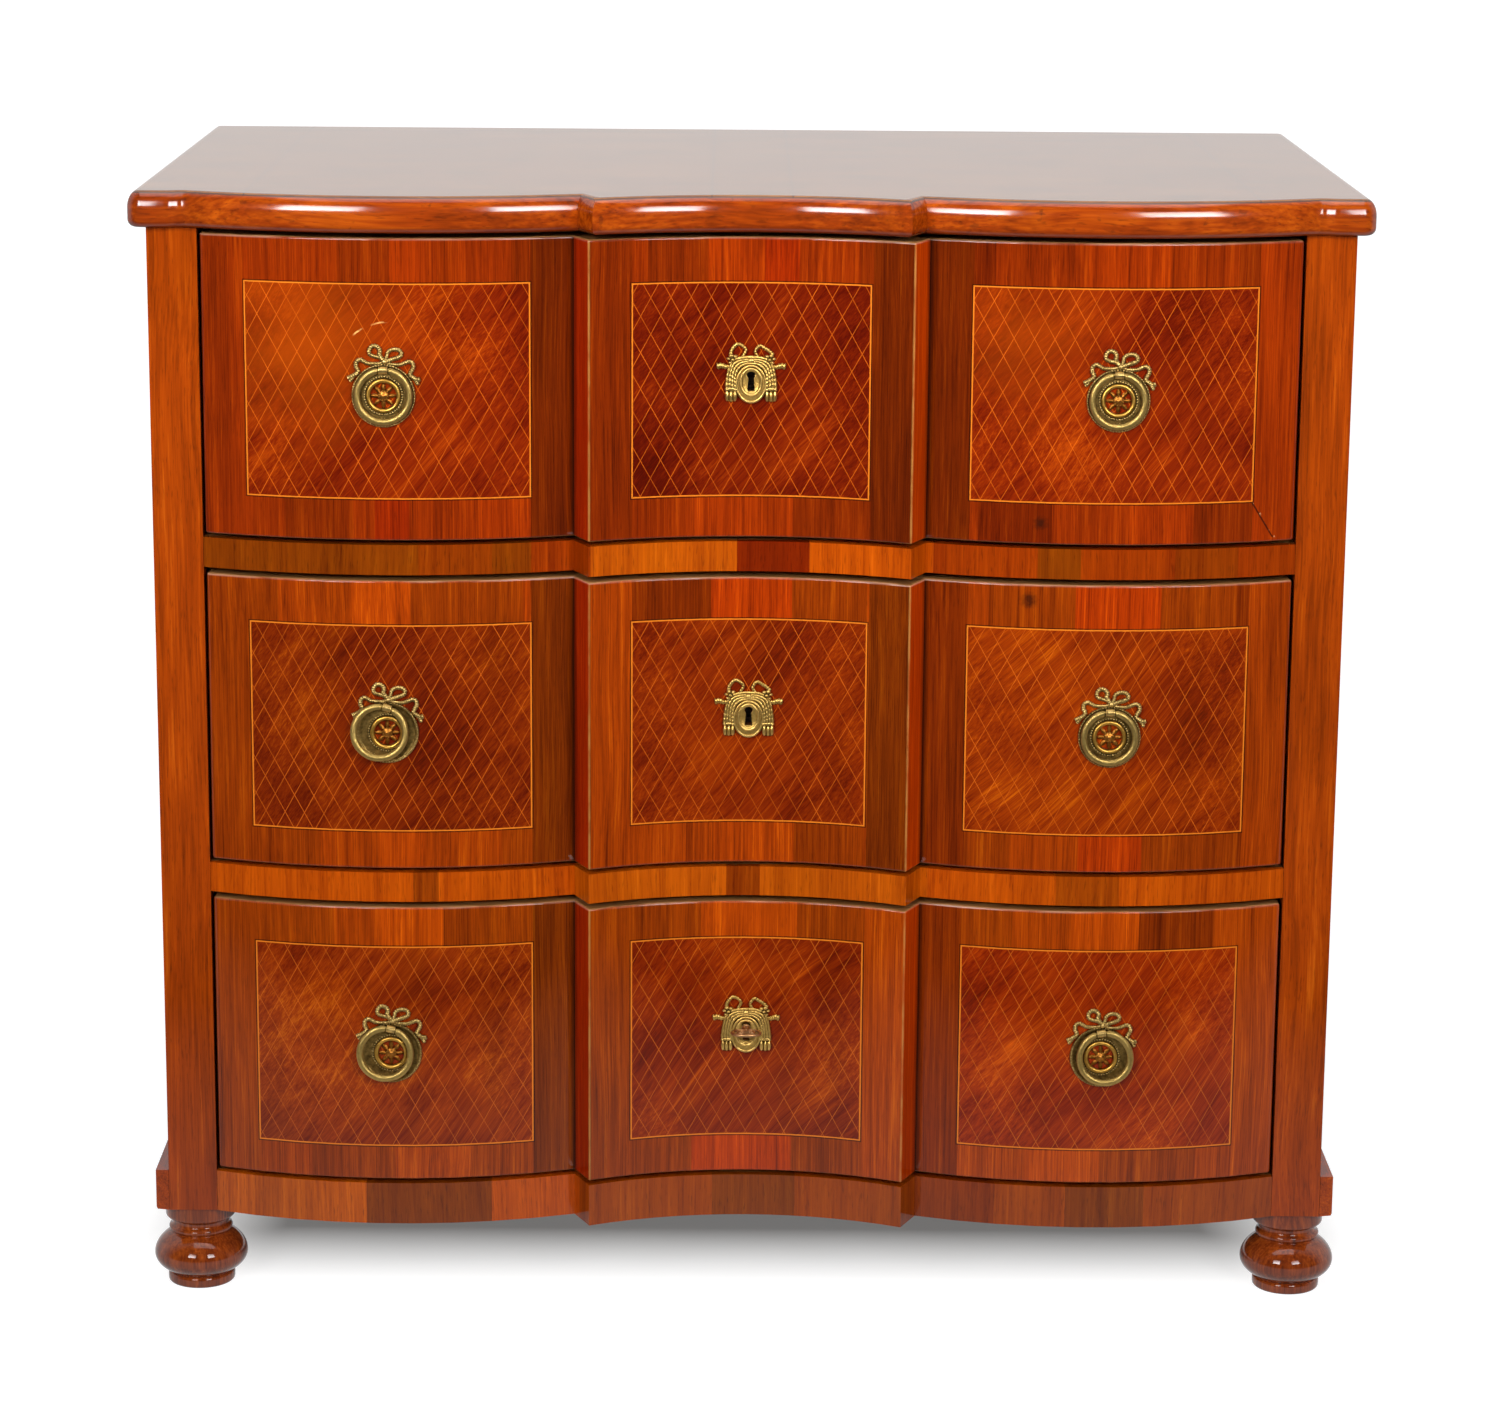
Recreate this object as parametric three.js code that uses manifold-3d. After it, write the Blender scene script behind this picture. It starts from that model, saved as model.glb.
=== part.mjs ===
// A block-front chest of three drawers on four turned feet. Millimetres, +Z up, front towards -Y.
// The pieces are drawn with y = 0 on the front face of the corner posts and z = 0 on the floor.
// The outer group then moves them so that the origin is the middle of the chest's footprint.
import * as THREE from "three";
import { mergeVertices } from "three/addons/utils/BufferGeometryUtils.js";
import Module from "manifold-3d";

const wasm = await Module();
wasm.setup();

// Fits
const seat = 0.3; // between two pieces that touch
const overrun = 4; // how far a cutter passes out of what it cuts
const weld = 0.001; // vertices closer than this are one
const sliver = 0.005; // what a join leaves thinner than this is dropped

// Case
const caseWidth = 961;
const caseDepth = 545;
const footHeight = 71;
const baseRailHeight = 35;
const railHeight = 24.5;
const bottomBay = 241.5;
const middleBay = 246.5;
const topBay = 250;
const postWidth = 40;
const postDepth = 45;
const sideThickness = 20;
const tongueThickness = 7; // tongue of a side in its post
const tongueDepth = 8;
const backThickness = 10;
const backRabbet = 8; // how far the back panel reaches into each side
const railDepth = 60;
const tenonLength = 12;
const tenonHeight = 14;
const tenonFront = 10; // behind the post's face
const tenonDepth = 25;
const mouldingThickness = 10.5;
const mouldingRound = 3;

// Block front in plan: a hollow centre, a canted step, and a lobe on each side
const hollowMiddle = -2.6;
const hollowHalf = 129;
const hollowFront = -32.5;
const cantWidth = 13;
const lobeStart = -3.8;
const lobeFront = -30;
const hollowSteps = 7;
const lobeSteps = 9;

// Top
const slabThickness = 29;
const slabSideOverhang = 14;
const slabFrontOverhang = 13.5;
const slabBackOverhang = 8;
const slabBlockWidth = 38.5; // flat length of its edge over each post
const slabBlockStep = 3.3;
const slabCantShift = 4; // its canted steps stand this much nearer the middle
const slabLowRound = 6;
const slabHighRound = 9;
const slabEdgeSteps = 3;
const cornerSteps = 2;

// Feet
const footInset = 22; // from the case's outer face to the foot's axis
const footSetback = 31; // from the case's front or back to the foot's axis
const padRadius = 28;
const padHeight = 9.5;
const padEdge = 2.5;
const creaseRadius = 26;
const ballRadius = 39;
const ballMiddle = 25;
const ballLowReach = 20.5;
const ballTop = 44;
const ballHighReach = 25.1;
const ballSteps = 3;
const beadRadius = 26.5;
const beadHeight = 6;
const neckRadius = 23.5;
const neckHeight = 6;
const ringRadius = 29.3;
const ringBottom = 57.6;
const ringEdge = 1.5;
const dowelRadius = 9;
const dowelHeight = 9;
const footSegments = 14;

// Runners
const ledgeWidth = 45.5;
const ledgeThickness = 20;
const guideHeight = 22;
const guidePlay = 1; // between a drawer and each guide

// Drawers
const frontSideGap = 2.5;
const frontGapBelow = 3.5;
const frontGapAbove = 4.5;
const frontRound = 2; // edges of a drawer front
const frontEdgeSteps = 2;
const frontCorner = 3; // its upright corners, seen from above
const frontBack = 20; // flat back face of every drawer front
const drawerRearRoom = 10; // between a closed drawer and the back panel
const boardThickness = 12; // drawer sides and backs
const sideDrop = 6; // drawer sides below the top of the front
const backDrop = 6; // drawer back below the sides
const panelThickness = 6;
const panelRise = 8; // drawer bottom above the sides' lower edge
const grooveDepth = 5;
const tailReach = 13;
const frontTails = 4;
const backTails = 3;
const tailRootShare = 0.5; // of the tails' pitch
const tailTipShare = 0.72;

// Pulls
const pullDrops = { top: 124.9, middle: 124.4, bottom: 123.5 }; // plate's middle below the front's top edge
const pullTurns = { top: [0, 0], middle: [-17, 0], bottom: [-13, 9] }; // degrees, left and right
const pullLifts = { top: [0, 0], middle: [7, 0], bottom: [6, 5] };
const plateRadius = 25.1;
const plateRim = 1.6;
const plateFloor = 1;
const rimWidth = 1.8;
const mouldRadius = 15.2;
const mouldTop = 2.4;
const mouldWidth = 5;
const petalRadius = 11.4;
const petalValley = 4.8;
const petalThickness = 1.2;
const petalCount = 8;
const hubRadius = 4;
const hubTop = 3;
const plateSegments = 16;
const ringMiddle = 20.8; // radius of the pull ring's centre line
const barRadius = 2.4;
const neckBarRadius = 1.6;
const barSides = 6;
const ringSteps = 16;
const lugWidth = 7;
const lugRadius = 3.1;
const lugBore = 2;
const stemWidth = 5.8; // stem that carries the lug's eye
const stemHeight = 4.8;
const lugSides = 8;
const ringShoulder = 4.3; // where the ring's bar starts beside the lug
const shankRadius = 2.5;
const nutRadius = 5;
const nutThickness = 4;
const shankEnd = 6.5; // of the shank behind the drawer front
const loopFronts = [2.1, 1.95]; // how far the right and the left loop stand out
const tailFronts = [1.82, 1.71];
const loopHoleSides = 8;
const knotRadius = 2.4;
const knotRise = 1.1; // of its middle above the plate's rim
const knotShoulder = 2.5;
const knobSides = 6;
// Bow of a pull, its right half and its left half, as shares of the plate's radius from its centre
const loopShares = [
  [[0.02, 1.0], [0.16, 0.99], [0.3, 1.06], [0.52, 1.1], [0.64, 1.24], [0.58, 1.4], [0.4, 1.48], [0.2, 1.42], [0.05, 1.27]],
  [[-0.03, 1.0], [0.01, 1.3], [-0.04, 1.5], [-0.16, 1.61], [-0.34, 1.6], [-0.46, 1.45], [-0.44, 1.24], [-0.28, 1.13], [-0.15, 1.02]],
];
const loopHoleShares = [
  [0.36, 1.27, 0.17, 0.1],
  [-0.23, 1.38, 0.11, 0.13],
];
const tailShares = [
  [
    [0.01, 1.07], [0.35, 1.045], [0.66, 1.07], [0.9, 1.14], [1.01, 1.09], [0.98, 0.86], [1.06, 0.66], [1.18, 0.56],
    [1.05, 0.46], [0.92, 0.62], [0.86, 0.8], [0.85, 0.98], [0.66, 0.935], [0.35, 0.91], [0.03, 0.96],
  ],
  [
    [-0.02, 1.08], [-0.35, 1.03], [-0.62, 1.09], [-0.86, 1.1], [-0.91, 1.0], [-0.9, 0.8], [-1.02, 0.66], [-1.15, 0.54],
    [-1.04, 0.44], [-0.9, 0.56], [-0.78, 0.76], [-0.77, 0.95], [-0.6, 0.955], [-0.35, 0.9], [-0.04, 0.975],
  ],
];

// Keyholes and escutcheons
const keyholeDrops = { top: 114.7, middle: 114.4, bottom: 111.2 }; // its middle below the front's top edge
const keyRoundRise = 4.6; // round part of the keyhole above its middle
const keyRound = 3.4;
const keySlotDrop = 8.3;
const keySlotTop = 1.9; // half widths of the slot
const keySlotFoot = 2.8;
const keyholeSides = 9;
const plateThickness = 1.6;
const ovalThickness = 3.2;
const ovalHalfWidth = 12.2;
const ovalHalfHeight = 14;
const ovalDrop = 3;
const ovalSides = 16;
const ribbonWidth = 2.6;
const ribbonThickness = 2.1;
const ribbonSteps = 5;
// Drapery outline of an escutcheon, right half from the top down, as shares of its half width
const escutcheonHalf = 27;
const draperyShares = [
  [0, 0.74], [0.3, 0.78], [0.66, 0.84], [0.69, 0.6], [0.66, 0.46], [1, 0.47], [1, 0.3],
  [0.68, 0.3], [0.7, 0.05], [0.77, -0.35], [0.76, -0.56], [0.62, -0.64], [0.48, -0.5], [0.36, -0.42],
];
const escutcheonLoopShares = [
  [[0.1, 0.74], [0.16, 1.0], [0.3, 1.1], [0.62, 0.92], [0.58, 0.76]],
  [[-0.12, 0.72], [-0.12, 0.98], [-0.3, 1.12], [-0.46, 1.08], [-0.42, 0.8]],
];

// Locks
const lockHalfWidth = 28;
const lockDepth = 11;
const lockAbove = 24; // above and below the key's axis
const lockBelow = 20;
const lockWall = 1.5;
const lockCavity = 10;
const cavityFloor = 2;
const cavitySides = 12;
const boltHalfWidth = 5;
const boltThickness = 4.7;
const boltFront = 12.3;
const boltRecess = 1; // bolt below the front's top edge when drawn back
const boltThrow = 12;
const boltDrop = 6;
const boltClear = 1;
const mortiseClear = 3;
const coverHalfWidth = 8;
const coverThickness = 1.5;

// Key
const keyShaft = 2.7;
const keyTip = 17;
const keyReach = 14; // shaft in front of the hollow's middle
const keyCollar = 4;
const keyCollarLength = 3;
const bitReach = 8.3;
const bitFront = 11.5;
const bitLength = 4.5;
const bitThickness = 2;
const keyBowHalf = 12.75;
const keyBowLength = 18;
const keyBowThickness = 2.6;
const keyBowBar = 2.8;
const keySides = 8;
const keyBowSteps = 9;

// Colours of the materials
const veneer = 0x7a3a1c;
const carcaseWood = 0x8a6a44;
const gilt = 0xa98a4a;
const steel = 0x6a6862;

// Places worked out from the sizes
const caseHalf = caseWidth / 2;
const postInner = caseHalf - postWidth;
const sideInner = caseHalf - sideThickness;
const baseRailBottom = footHeight + seat;
const baseRailTop = baseRailBottom + baseRailHeight;
const lowerRailBottom = baseRailTop + bottomBay;
const lowerRailTop = lowerRailBottom + railHeight;
const upperRailBottom = lowerRailTop + middleBay;
const upperRailTop = upperRailBottom + railHeight;
const slabBottom = upperRailTop + topBay;
const caseTop = slabBottom - seat;
const boardTop = baseRailTop - ledgeThickness - seat;
const backFace = caseDepth - backThickness;
const lobeInner = hollowHalf + cantWidth;
const drawerHalf = postInner - frontSideGap;
const drawerLength = backFace - drawerRearRoom; // from the posts' face to the drawer's back end
const drawerBackFace = drawerLength - boardThickness;
const runnerFront = railDepth + seat;
const runnerBack = backFace - seat;
const bays = [
  { name: "top", floor: upperRailTop, height: topBay },
  { name: "middle", floor: lowerRailTop, height: middleBay },
  { name: "bottom", floor: baseRailTop, height: bottomBay },
];
const sides = [
  { name: "left", sign: -1, index: 0 },
  { name: "right", sign: 1, index: 1 },
];

// Solids

function solidOf(geometry) {
  const bare = new THREE.BufferGeometry();
  bare.setAttribute("position", geometry.getAttribute("position"));
  if (geometry.index) bare.setIndex(geometry.index);
  const merged = mergeVertices(bare, weld);
  return new wasm.Manifold(
    new wasm.Mesh({
      numProp: 3,
      vertProperties: merged.getAttribute("position").array,
      triVerts: new Uint32Array(merged.index.array),
    }),
  );
}

function geometryOf(solid) {
  const mesh = solid.getMesh();
  const indexed = new THREE.BufferGeometry();
  indexed.setAttribute("position", new THREE.BufferAttribute(mesh.vertProperties, mesh.numProp));
  indexed.setIndex(new THREE.BufferAttribute(mesh.triVerts, 1));
  const faceted = indexed.toNonIndexed();
  faceted.computeVertexNormals();
  return faceted;
}

// The joined pieces, with every cutter taken away.
function shaped(pieces, cutters = []) {
  let solid = solidOf(pieces[0]);
  for (const piece of pieces.slice(1)) solid = solid.add(solidOf(piece));
  for (const cutter of cutters) solid = solid.subtract(solidOf(cutter));
  return geometryOf(solid.simplify(sliver));
}

function block(x0, x1, y0, y1, z0, z1) {
  const geometry = new THREE.BoxGeometry(x1 - x0, y1 - y0, z1 - z0);
  return geometry.translate((x0 + x1) / 2, (y0 + y1) / 2, (z0 + z1) / 2);
}

// A block on one side of the chest, given by distances from the middle.
function sideBlock(sign, inner, outer, y0, y1, z0, z1) {
  return block(Math.min(sign * inner, sign * outer), Math.max(sign * inner, sign * outer), y0, y1, z0, z1);
}

function extruded(outline, depth) {
  const shape = outline instanceof THREE.Shape ? outline : new THREE.Shape(outline);
  return new THREE.ExtrudeGeometry(shape, { depth, bevelEnabled: false });
}

const axisX = new THREE.Vector3(1, 0, 0);
const axisY = new THREE.Vector3(0, 1, 0);
const axisZ = new THREE.Vector3(0, 0, 1);

// Prisms of outlines in (x, y), (y, z) and (x, z).
function prismZ(points, z0, z1) {
  return extruded(points, z1 - z0).translate(0, 0, z0);
}

function prismX(points, x0, x1) {
  const turn = new THREE.Matrix4().makeBasis(axisY, axisZ, axisX);
  return extruded(points, x1 - x0).applyMatrix4(turn).translate(x0, 0, 0);
}

function prismY(points, y0, y1) {
  const turn = new THREE.Matrix4().makeBasis(axisX, axisZ, axisY.clone().negate());
  return extruded(points, y1 - y0).applyMatrix4(turn).translate(0, y1, 0);
}

function ovalPoints(x, y, halfWidth, halfHeight, count) {
  return Array.from({ length: count }, (_, i) => {
    const angle = (2 * Math.PI * i) / count;
    return new THREE.Vector2(x + halfWidth * Math.cos(angle), y + halfHeight * Math.sin(angle));
  });
}

function circlePoints(x, y, radius, count) {
  return ovalPoints(x, y, radius, radius, count);
}

// A turned solid about the Z axis from a profile of [radius, height] that goes upwards.
function turned(profile, segments) {
  const points = profile.map(([radius, height]) => new THREE.Vector2(radius, height));
  return new THREE.LatheGeometry(points, segments).rotateX(Math.PI / 2);
}

// A bar of a closed section that follows a path.
function bar(section, path, steps) {
  const options = { steps, extrudePath: path, bevelEnabled: false };
  return new THREE.ExtrudeGeometry(new THREE.Shape(section), options);
}

// Outlines

function inwardNormal(from, to) {
  return new THREE.Vector2(from.y - to.y, to.x - from.x).normalize();
}

// A counter-clockwise outline with every edge moved inwards by the same distance.
function insetOutline(points, inset) {
  return points.map((point, i) => {
    const before = inwardNormal(points.at(i - 1), point);
    const after = inwardNormal(point, points[(i + 1) % points.length]);
    const share = inset / (1 + before.dot(after));
    return point.clone().addScaledVector(before, share).addScaledVector(after, share);
  });
}

// The whole outline from its right half, which starts at x = 0.
function bothSides(half) {
  const left = half.slice(1).reverse().map((point) => new THREE.Vector2(-point.x, point.y));
  return [...left, ...half];
}

// A closed solid through outlines that have the same number of points, from the lowest up.
function loft(layers) {
  const count = layers[0].points.length;
  const positions = layers.flatMap(({ points, z }) => points.flatMap((point) => [point.x, point.y, z]));
  const index = [];
  for (let layer = 0; layer + 1 < layers.length; layer += 1) {
    for (let i = 0; i < count; i += 1) {
      const a = layer * count + i;
      const b = layer * count + ((i + 1) % count);
      index.push(a, b, b + count, a, b + count, a + count);
    }
  }
  const last = (layers.length - 1) * count;
  for (const [a, b, c] of THREE.ShapeUtils.triangulateShape(layers[0].points, [])) index.push(c, b, a);
  for (const [a, b, c] of THREE.ShapeUtils.triangulateShape(layers.at(-1).points, [])) {
    index.push(last + a, last + b, last + c);
  }
  const geometry = new THREE.BufferGeometry();
  geometry.setAttribute("position", new THREE.Float32BufferAttribute(positions, 3));
  geometry.setIndex(index);
  return geometry;
}

// Insets and levels of an edge that is rounded below and above.
function roundedEdge(low, high, lowRound, highRound, steps) {
  const angles = Array.from({ length: steps + 1 }, (_, i) => (Math.PI / 2) * (i / steps));
  return [
    ...angles.map((angle) => ({
      inset: lowRound * (1 - Math.sin(angle)),
      z: low + lowRound * (1 - Math.cos(angle)),
    })),
    ...angles.map((angle) => ({
      inset: highRound * (1 - Math.cos(angle)),
      z: high - highRound * (1 - Math.sin(angle)),
    })),
  ];
}

// A board whose front and ends have a rounded edge, and whose back stays square.
function roundedBoard(outlineTo, back, edge) {
  const layers = edge.map(({ inset, z }) => ({ z, points: insetOutline(outlineTo(back + inset), inset) }));
  return loft(layers);
}

function circleThrough(a, b, c) {
  const d = 2 * (a.x * (b.y - c.y) + b.x * (c.y - a.y) + c.x * (a.y - b.y));
  const [aa, bb, cc] = [a, b, c].map((point) => point.lengthSq());
  const x = (aa * (b.y - c.y) + bb * (c.y - a.y) + cc * (a.y - b.y)) / d;
  const y = (aa * (c.x - b.x) + bb * (a.x - c.x) + cc * (b.x - a.x)) / d;
  return { x, y, radius: Math.hypot(a.x - x, a.y - y) };
}

// The curve of a lobe: its places in front of y, for x between its ends.
function lobeCurve(innerX, innerY, front, outerX, outerY) {
  const circle = circleThrough(
    new THREE.Vector2(innerX, innerY),
    new THREE.Vector2((innerX + outerX) / 2, front),
    new THREE.Vector2(outerX, outerY),
  );
  return (x) => circle.y - Math.sqrt(circle.radius ** 2 - (x - circle.x) ** 2);
}

const hollowCircle = circleThrough(
  new THREE.Vector2(-hollowHalf, hollowFront),
  new THREE.Vector2(0, hollowMiddle),
  new THREE.Vector2(hollowHalf, hollowFront),
);
const hollowY = (x) => hollowCircle.y + Math.sqrt(hollowCircle.radius ** 2 - x ** 2);
const lobeY = lobeCurve(lobeInner, lobeStart, lobeFront, postInner, 0);

function steppedCurve(from, to, steps, yOf) {
  return Array.from({ length: steps + 1 }, (_, i) => {
    const x = from + ((to - from) * i) / steps;
    return new THREE.Vector2(x, yOf(x));
  });
}

// The right half of the block front, as far as x = half.
function halfFront(half) {
  return [
    ...steppedCurve(0, hollowHalf, hollowSteps, hollowY),
    ...steppedCurve(lobeInner, half, lobeSteps, lobeY),
  ];
}

// A quarter turn from the front line into an end face.
function roundedCorner(x, y, radius) {
  return Array.from({ length: cornerSteps }, (_, i) => {
    const angle = (Math.PI / 2) * ((i + 1) / cornerSteps);
    return new THREE.Vector2(x - radius + radius * Math.sin(angle), y + radius - radius * Math.cos(angle));
  });
}

// Scene graph

const chest = new THREE.Group();
const materials = {
  veneer: new THREE.MeshStandardMaterial({ color: veneer, roughness: 0.35, metalness: 0 }),
  carcase: new THREE.MeshStandardMaterial({ color: carcaseWood, roughness: 0.7, metalness: 0 }),
  gilt: new THREE.MeshStandardMaterial({ color: gilt, roughness: 0.35, metalness: 1 }),
  steel: new THREE.MeshStandardMaterial({ color: steel, roughness: 0.5, metalness: 1 }),
};

function addPiece(group, name, geometry, material) {
  const mesh = new THREE.Mesh(geometry, material);
  mesh.name = name;
  group.add(mesh);
  return mesh;
}

// Top

function slabOutline(back) {
  const half = caseHalf + slabSideOverhang;
  const blockInner = half - slabBlockWidth;
  const cantInner = hollowHalf - slabCantShift;
  const cantOuter = lobeInner - slabCantShift;
  const hollow = (x) => hollowY((x * hollowHalf) / cantInner) - slabFrontOverhang;
  const lobe = lobeCurve(
    cantOuter,
    lobeStart - slabFrontOverhang,
    lobeFront - slabFrontOverhang,
    blockInner,
    slabBlockStep - slabFrontOverhang,
  );
  return bothSides([
    ...steppedCurve(0, cantInner, hollowSteps, hollow),
    ...steppedCurve(cantOuter, blockInner, lobeSteps, lobe),
    new THREE.Vector2(blockInner, -slabFrontOverhang),
    new THREE.Vector2(half, -slabFrontOverhang),
    new THREE.Vector2(half, back),
  ]);
}

// A pocket for a lock's bolt, upwards from the underside of what the bolt enters.
function boltMortise(underside) {
  const depth = boltThrow - boltRecess - frontGapAbove + mortiseClear;
  return block(
    -boltHalfWidth - boltClear,
    boltHalfWidth + boltClear,
    boltFront - boltClear,
    boltFront + boltThickness + boltClear,
    underside - overrun,
    underside + depth,
  );
}

const slabTop = slabBottom + slabThickness;
const slabBack = caseDepth + slabBackOverhang;
const slabEdge = roundedEdge(slabBottom, slabTop, slabLowRound, slabHighRound, slabEdgeSteps);
const slab = roundedBoard(slabOutline, slabBack, slabEdge);
addPiece(chest, "top", shaped([slab], [boltMortise(slabBottom)]), materials.veneer);

// Posts, sides, back and bottom

const footX = caseHalf - footInset;
const railLevels = [baseRailBottom, lowerRailBottom, upperRailBottom];
const railHeights = [baseRailHeight, railHeight, railHeight];

// The tenon at one end of a rail, grown on every side by a clearance.
function tenon(sign, bottom, height, clearance) {
  const middle = bottom + height / 2;
  return sideBlock(
    sign,
    postInner - overrun,
    postInner + tenonLength + clearance,
    tenonFront - clearance,
    tenonFront + tenonDepth + clearance,
    middle - tenonHeight / 2 - clearance,
    middle + tenonHeight / 2 + clearance,
  );
}

function dowelHole(x, y, bottom) {
  const rim = circlePoints(x, y, dowelRadius + seat, footSegments);
  return prismZ(rim, bottom - overrun, footHeight + dowelHeight + seat);
}

const tongueMiddle = (sideInner + caseHalf) / 2;
function sideTongue(sign, bottom, clearance) {
  return sideBlock(
    sign,
    tongueMiddle - tongueThickness / 2 - clearance,
    tongueMiddle + tongueThickness / 2 + clearance,
    postDepth - tongueDepth - clearance,
    postDepth + overrun,
    bottom - clearance,
    caseTop + clearance,
  );
}

for (const { name, sign } of sides) {
  const post = sideBlock(sign, postInner, caseHalf, 0, postDepth, baseRailBottom, caseTop);
  const mortises = railLevels.map((level, i) => tenon(sign, level, railHeights[i], seat));
  const postCuts = [...mortises, dowelHole(sign * footX, footSetback, baseRailBottom)];
  postCuts.push(sideTongue(sign, boardTop + seat, seat));
  addPiece(chest, name + "_post", shaped([post], postCuts), materials.veneer);

  const side = sideBlock(sign, sideInner, caseHalf, postDepth + seat, caseDepth, boardTop + seat, caseTop);
  const rabbet = sideBlock(
    sign,
    sideInner - overrun,
    sideInner + backRabbet,
    backFace - seat,
    caseDepth + overrun,
    boardTop - overrun,
    caseTop + overrun,
  );
  const tongue = sideTongue(sign, boardTop + seat, 0);
  addPiece(chest, name + "_side", shaped([side, tongue], [rabbet]), materials.veneer);

  const outer = caseHalf + seat + mouldingThickness;
  const mouldingProfile = [
    new THREE.Vector2(sign * (caseHalf + seat), baseRailBottom),
    ...roundedCorner(outer, baseRailBottom, mouldingRound).map((point) => point.setX(sign * point.x)),
    new THREE.Vector2(sign * outer, baseRailTop),
    new THREE.Vector2(sign * (caseHalf + seat), baseRailTop),
  ];
  const moulding = prismY(mouldingProfile, 0, caseDepth);
  addPiece(chest, name + "_base_moulding", moulding, materials.veneer);
}

const backHalf = sideInner + backRabbet - seat;
const backPanel = block(-backHalf, backHalf, backFace, caseDepth, boardTop + seat, caseTop);
addPiece(chest, "back_panel", backPanel, materials.carcase);

const boardOutline = bothSides([
  new THREE.Vector2(0, railDepth + seat),
  new THREE.Vector2(postInner, railDepth + seat),
  new THREE.Vector2(postInner, postDepth + seat),
  new THREE.Vector2(caseHalf, postDepth + seat),
  new THREE.Vector2(caseHalf, caseDepth),
]);
const rearFootY = caseDepth - footSetback;
const rearHoles = sides.map(({ sign }) => dowelHole(sign * footX, rearFootY, baseRailBottom));
const bottomBoard = prismZ(boardOutline, baseRailBottom, boardTop);
addPiece(chest, "bottom_board", shaped([bottomBoard], rearHoles), materials.carcase);

// Rails

const railOutline = bothSides([
  ...halfFront(postInner - seat),
  new THREE.Vector2(postInner - seat, railDepth),
]);

function rail(bottom, height, takesBolt) {
  const body = prismZ(railOutline, bottom, bottom + height);
  const tenons = sides.map(({ sign }) => tenon(sign, bottom, height, 0));
  return shaped([body, ...tenons], takesBolt ? [boltMortise(bottom)] : []);
}

addPiece(chest, "base_rail", rail(baseRailBottom, baseRailHeight, false), materials.veneer);
addPiece(chest, "lower_rail", rail(lowerRailBottom, railHeight, true), materials.veneer);
addPiece(chest, "upper_rail", rail(upperRailBottom, railHeight, true), materials.veneer);

// Feet

// Radius of the ball at a height, with a flatter half below its middle.
function ballAt(height) {
  const reach = height < ballMiddle ? ballLowReach : ballHighReach;
  return ballRadius * Math.sqrt(1 - ((height - ballMiddle) / reach) ** 2);
}

function footProfile() {
  const ball = [];
  for (let i = 0; i <= ballSteps; i += 1) {
    const height = ballMiddle - (ballMiddle - padHeight) * Math.cos((Math.PI / 2) * (i / ballSteps));
    ball.push([ballAt(height), height]);
  }
  for (let i = 1; i <= ballSteps; i += 1) {
    const height = ballMiddle + (ballTop - ballMiddle) * Math.sin((Math.PI / 2) * (i / ballSteps));
    ball.push([ballAt(height), height]);
  }
  return [
    [0, 0],
    [padRadius - padEdge, 0],
    [padRadius, padEdge],
    [padRadius, padHeight - padEdge],
    [creaseRadius, padHeight],
    ...ball,
    [beadRadius, ballTop + beadHeight / 3],
    [beadRadius, ballTop + beadHeight],
    [neckRadius, ballTop + beadHeight + neckHeight / 3],
    [neckRadius, ringBottom - ringEdge],
    [ringRadius, ringBottom + ringEdge],
    [ringRadius, footHeight],
    [dowelRadius, footHeight],
    [dowelRadius, footHeight + dowelHeight],
    [0, footHeight + dowelHeight],
  ];
}

for (const { name, sign } of sides) {
  for (const [row, y] of [["front", footSetback], ["rear", rearFootY]]) {
    const foot = addPiece(chest, row + "_" + name + "_foot", turned(footProfile(), footSegments), materials.veneer);
    foot.position.set(sign * footX, y, 0);
  }
}

// Runners, in the frame of their bay's floor

function runner(sign) {
  const outer = sideInner - seat;
  const section = [
    [sideInner - ledgeWidth, -ledgeThickness],
    [outer, -ledgeThickness],
    [outer, guideHeight],
    [drawerHalf + guidePlay, guideHeight],
    [drawerHalf + guidePlay, 0],
    [sideInner - ledgeWidth, 0],
  ];
  const points = section.map(([x, z]) => new THREE.Vector2(sign * x, z));
  return prismY(points, runnerFront, runnerBack);
}

// Locks, in the frame of their drawer

const lockFront = frontBack - lockDepth;

// The keyhole's outline about its round part, grown by a clearance.
function keyholePoints(axis, clearance) {
  const round = keyRound + clearance;
  const foot = axis - keyRoundRise - keySlotDrop - clearance;
  const top = keySlotTop + clearance;
  const start = -Math.acos(top / round);
  const turn = Math.PI - 2 * start;
  const arc = Array.from({ length: keyholeSides + 1 }, (_, i) => {
    const angle = start + (turn * i) / keyholeSides;
    return new THREE.Vector2(round * Math.cos(angle), axis + round * Math.sin(angle));
  });
  return [
    ...arc,
    new THREE.Vector2(-keySlotFoot - clearance, foot),
    new THREE.Vector2(keySlotFoot + clearance, foot),
  ];
}

// The space of the bolt in the lock and in the front, from the key's cavity to the top edge.
function boltWay(axis, top, clearance) {
  return block(
    -boltHalfWidth - clearance,
    boltHalfWidth + clearance,
    boltFront - clearance,
    boltFront + boltThickness + clearance,
    axis,
    top,
  );
}

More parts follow.
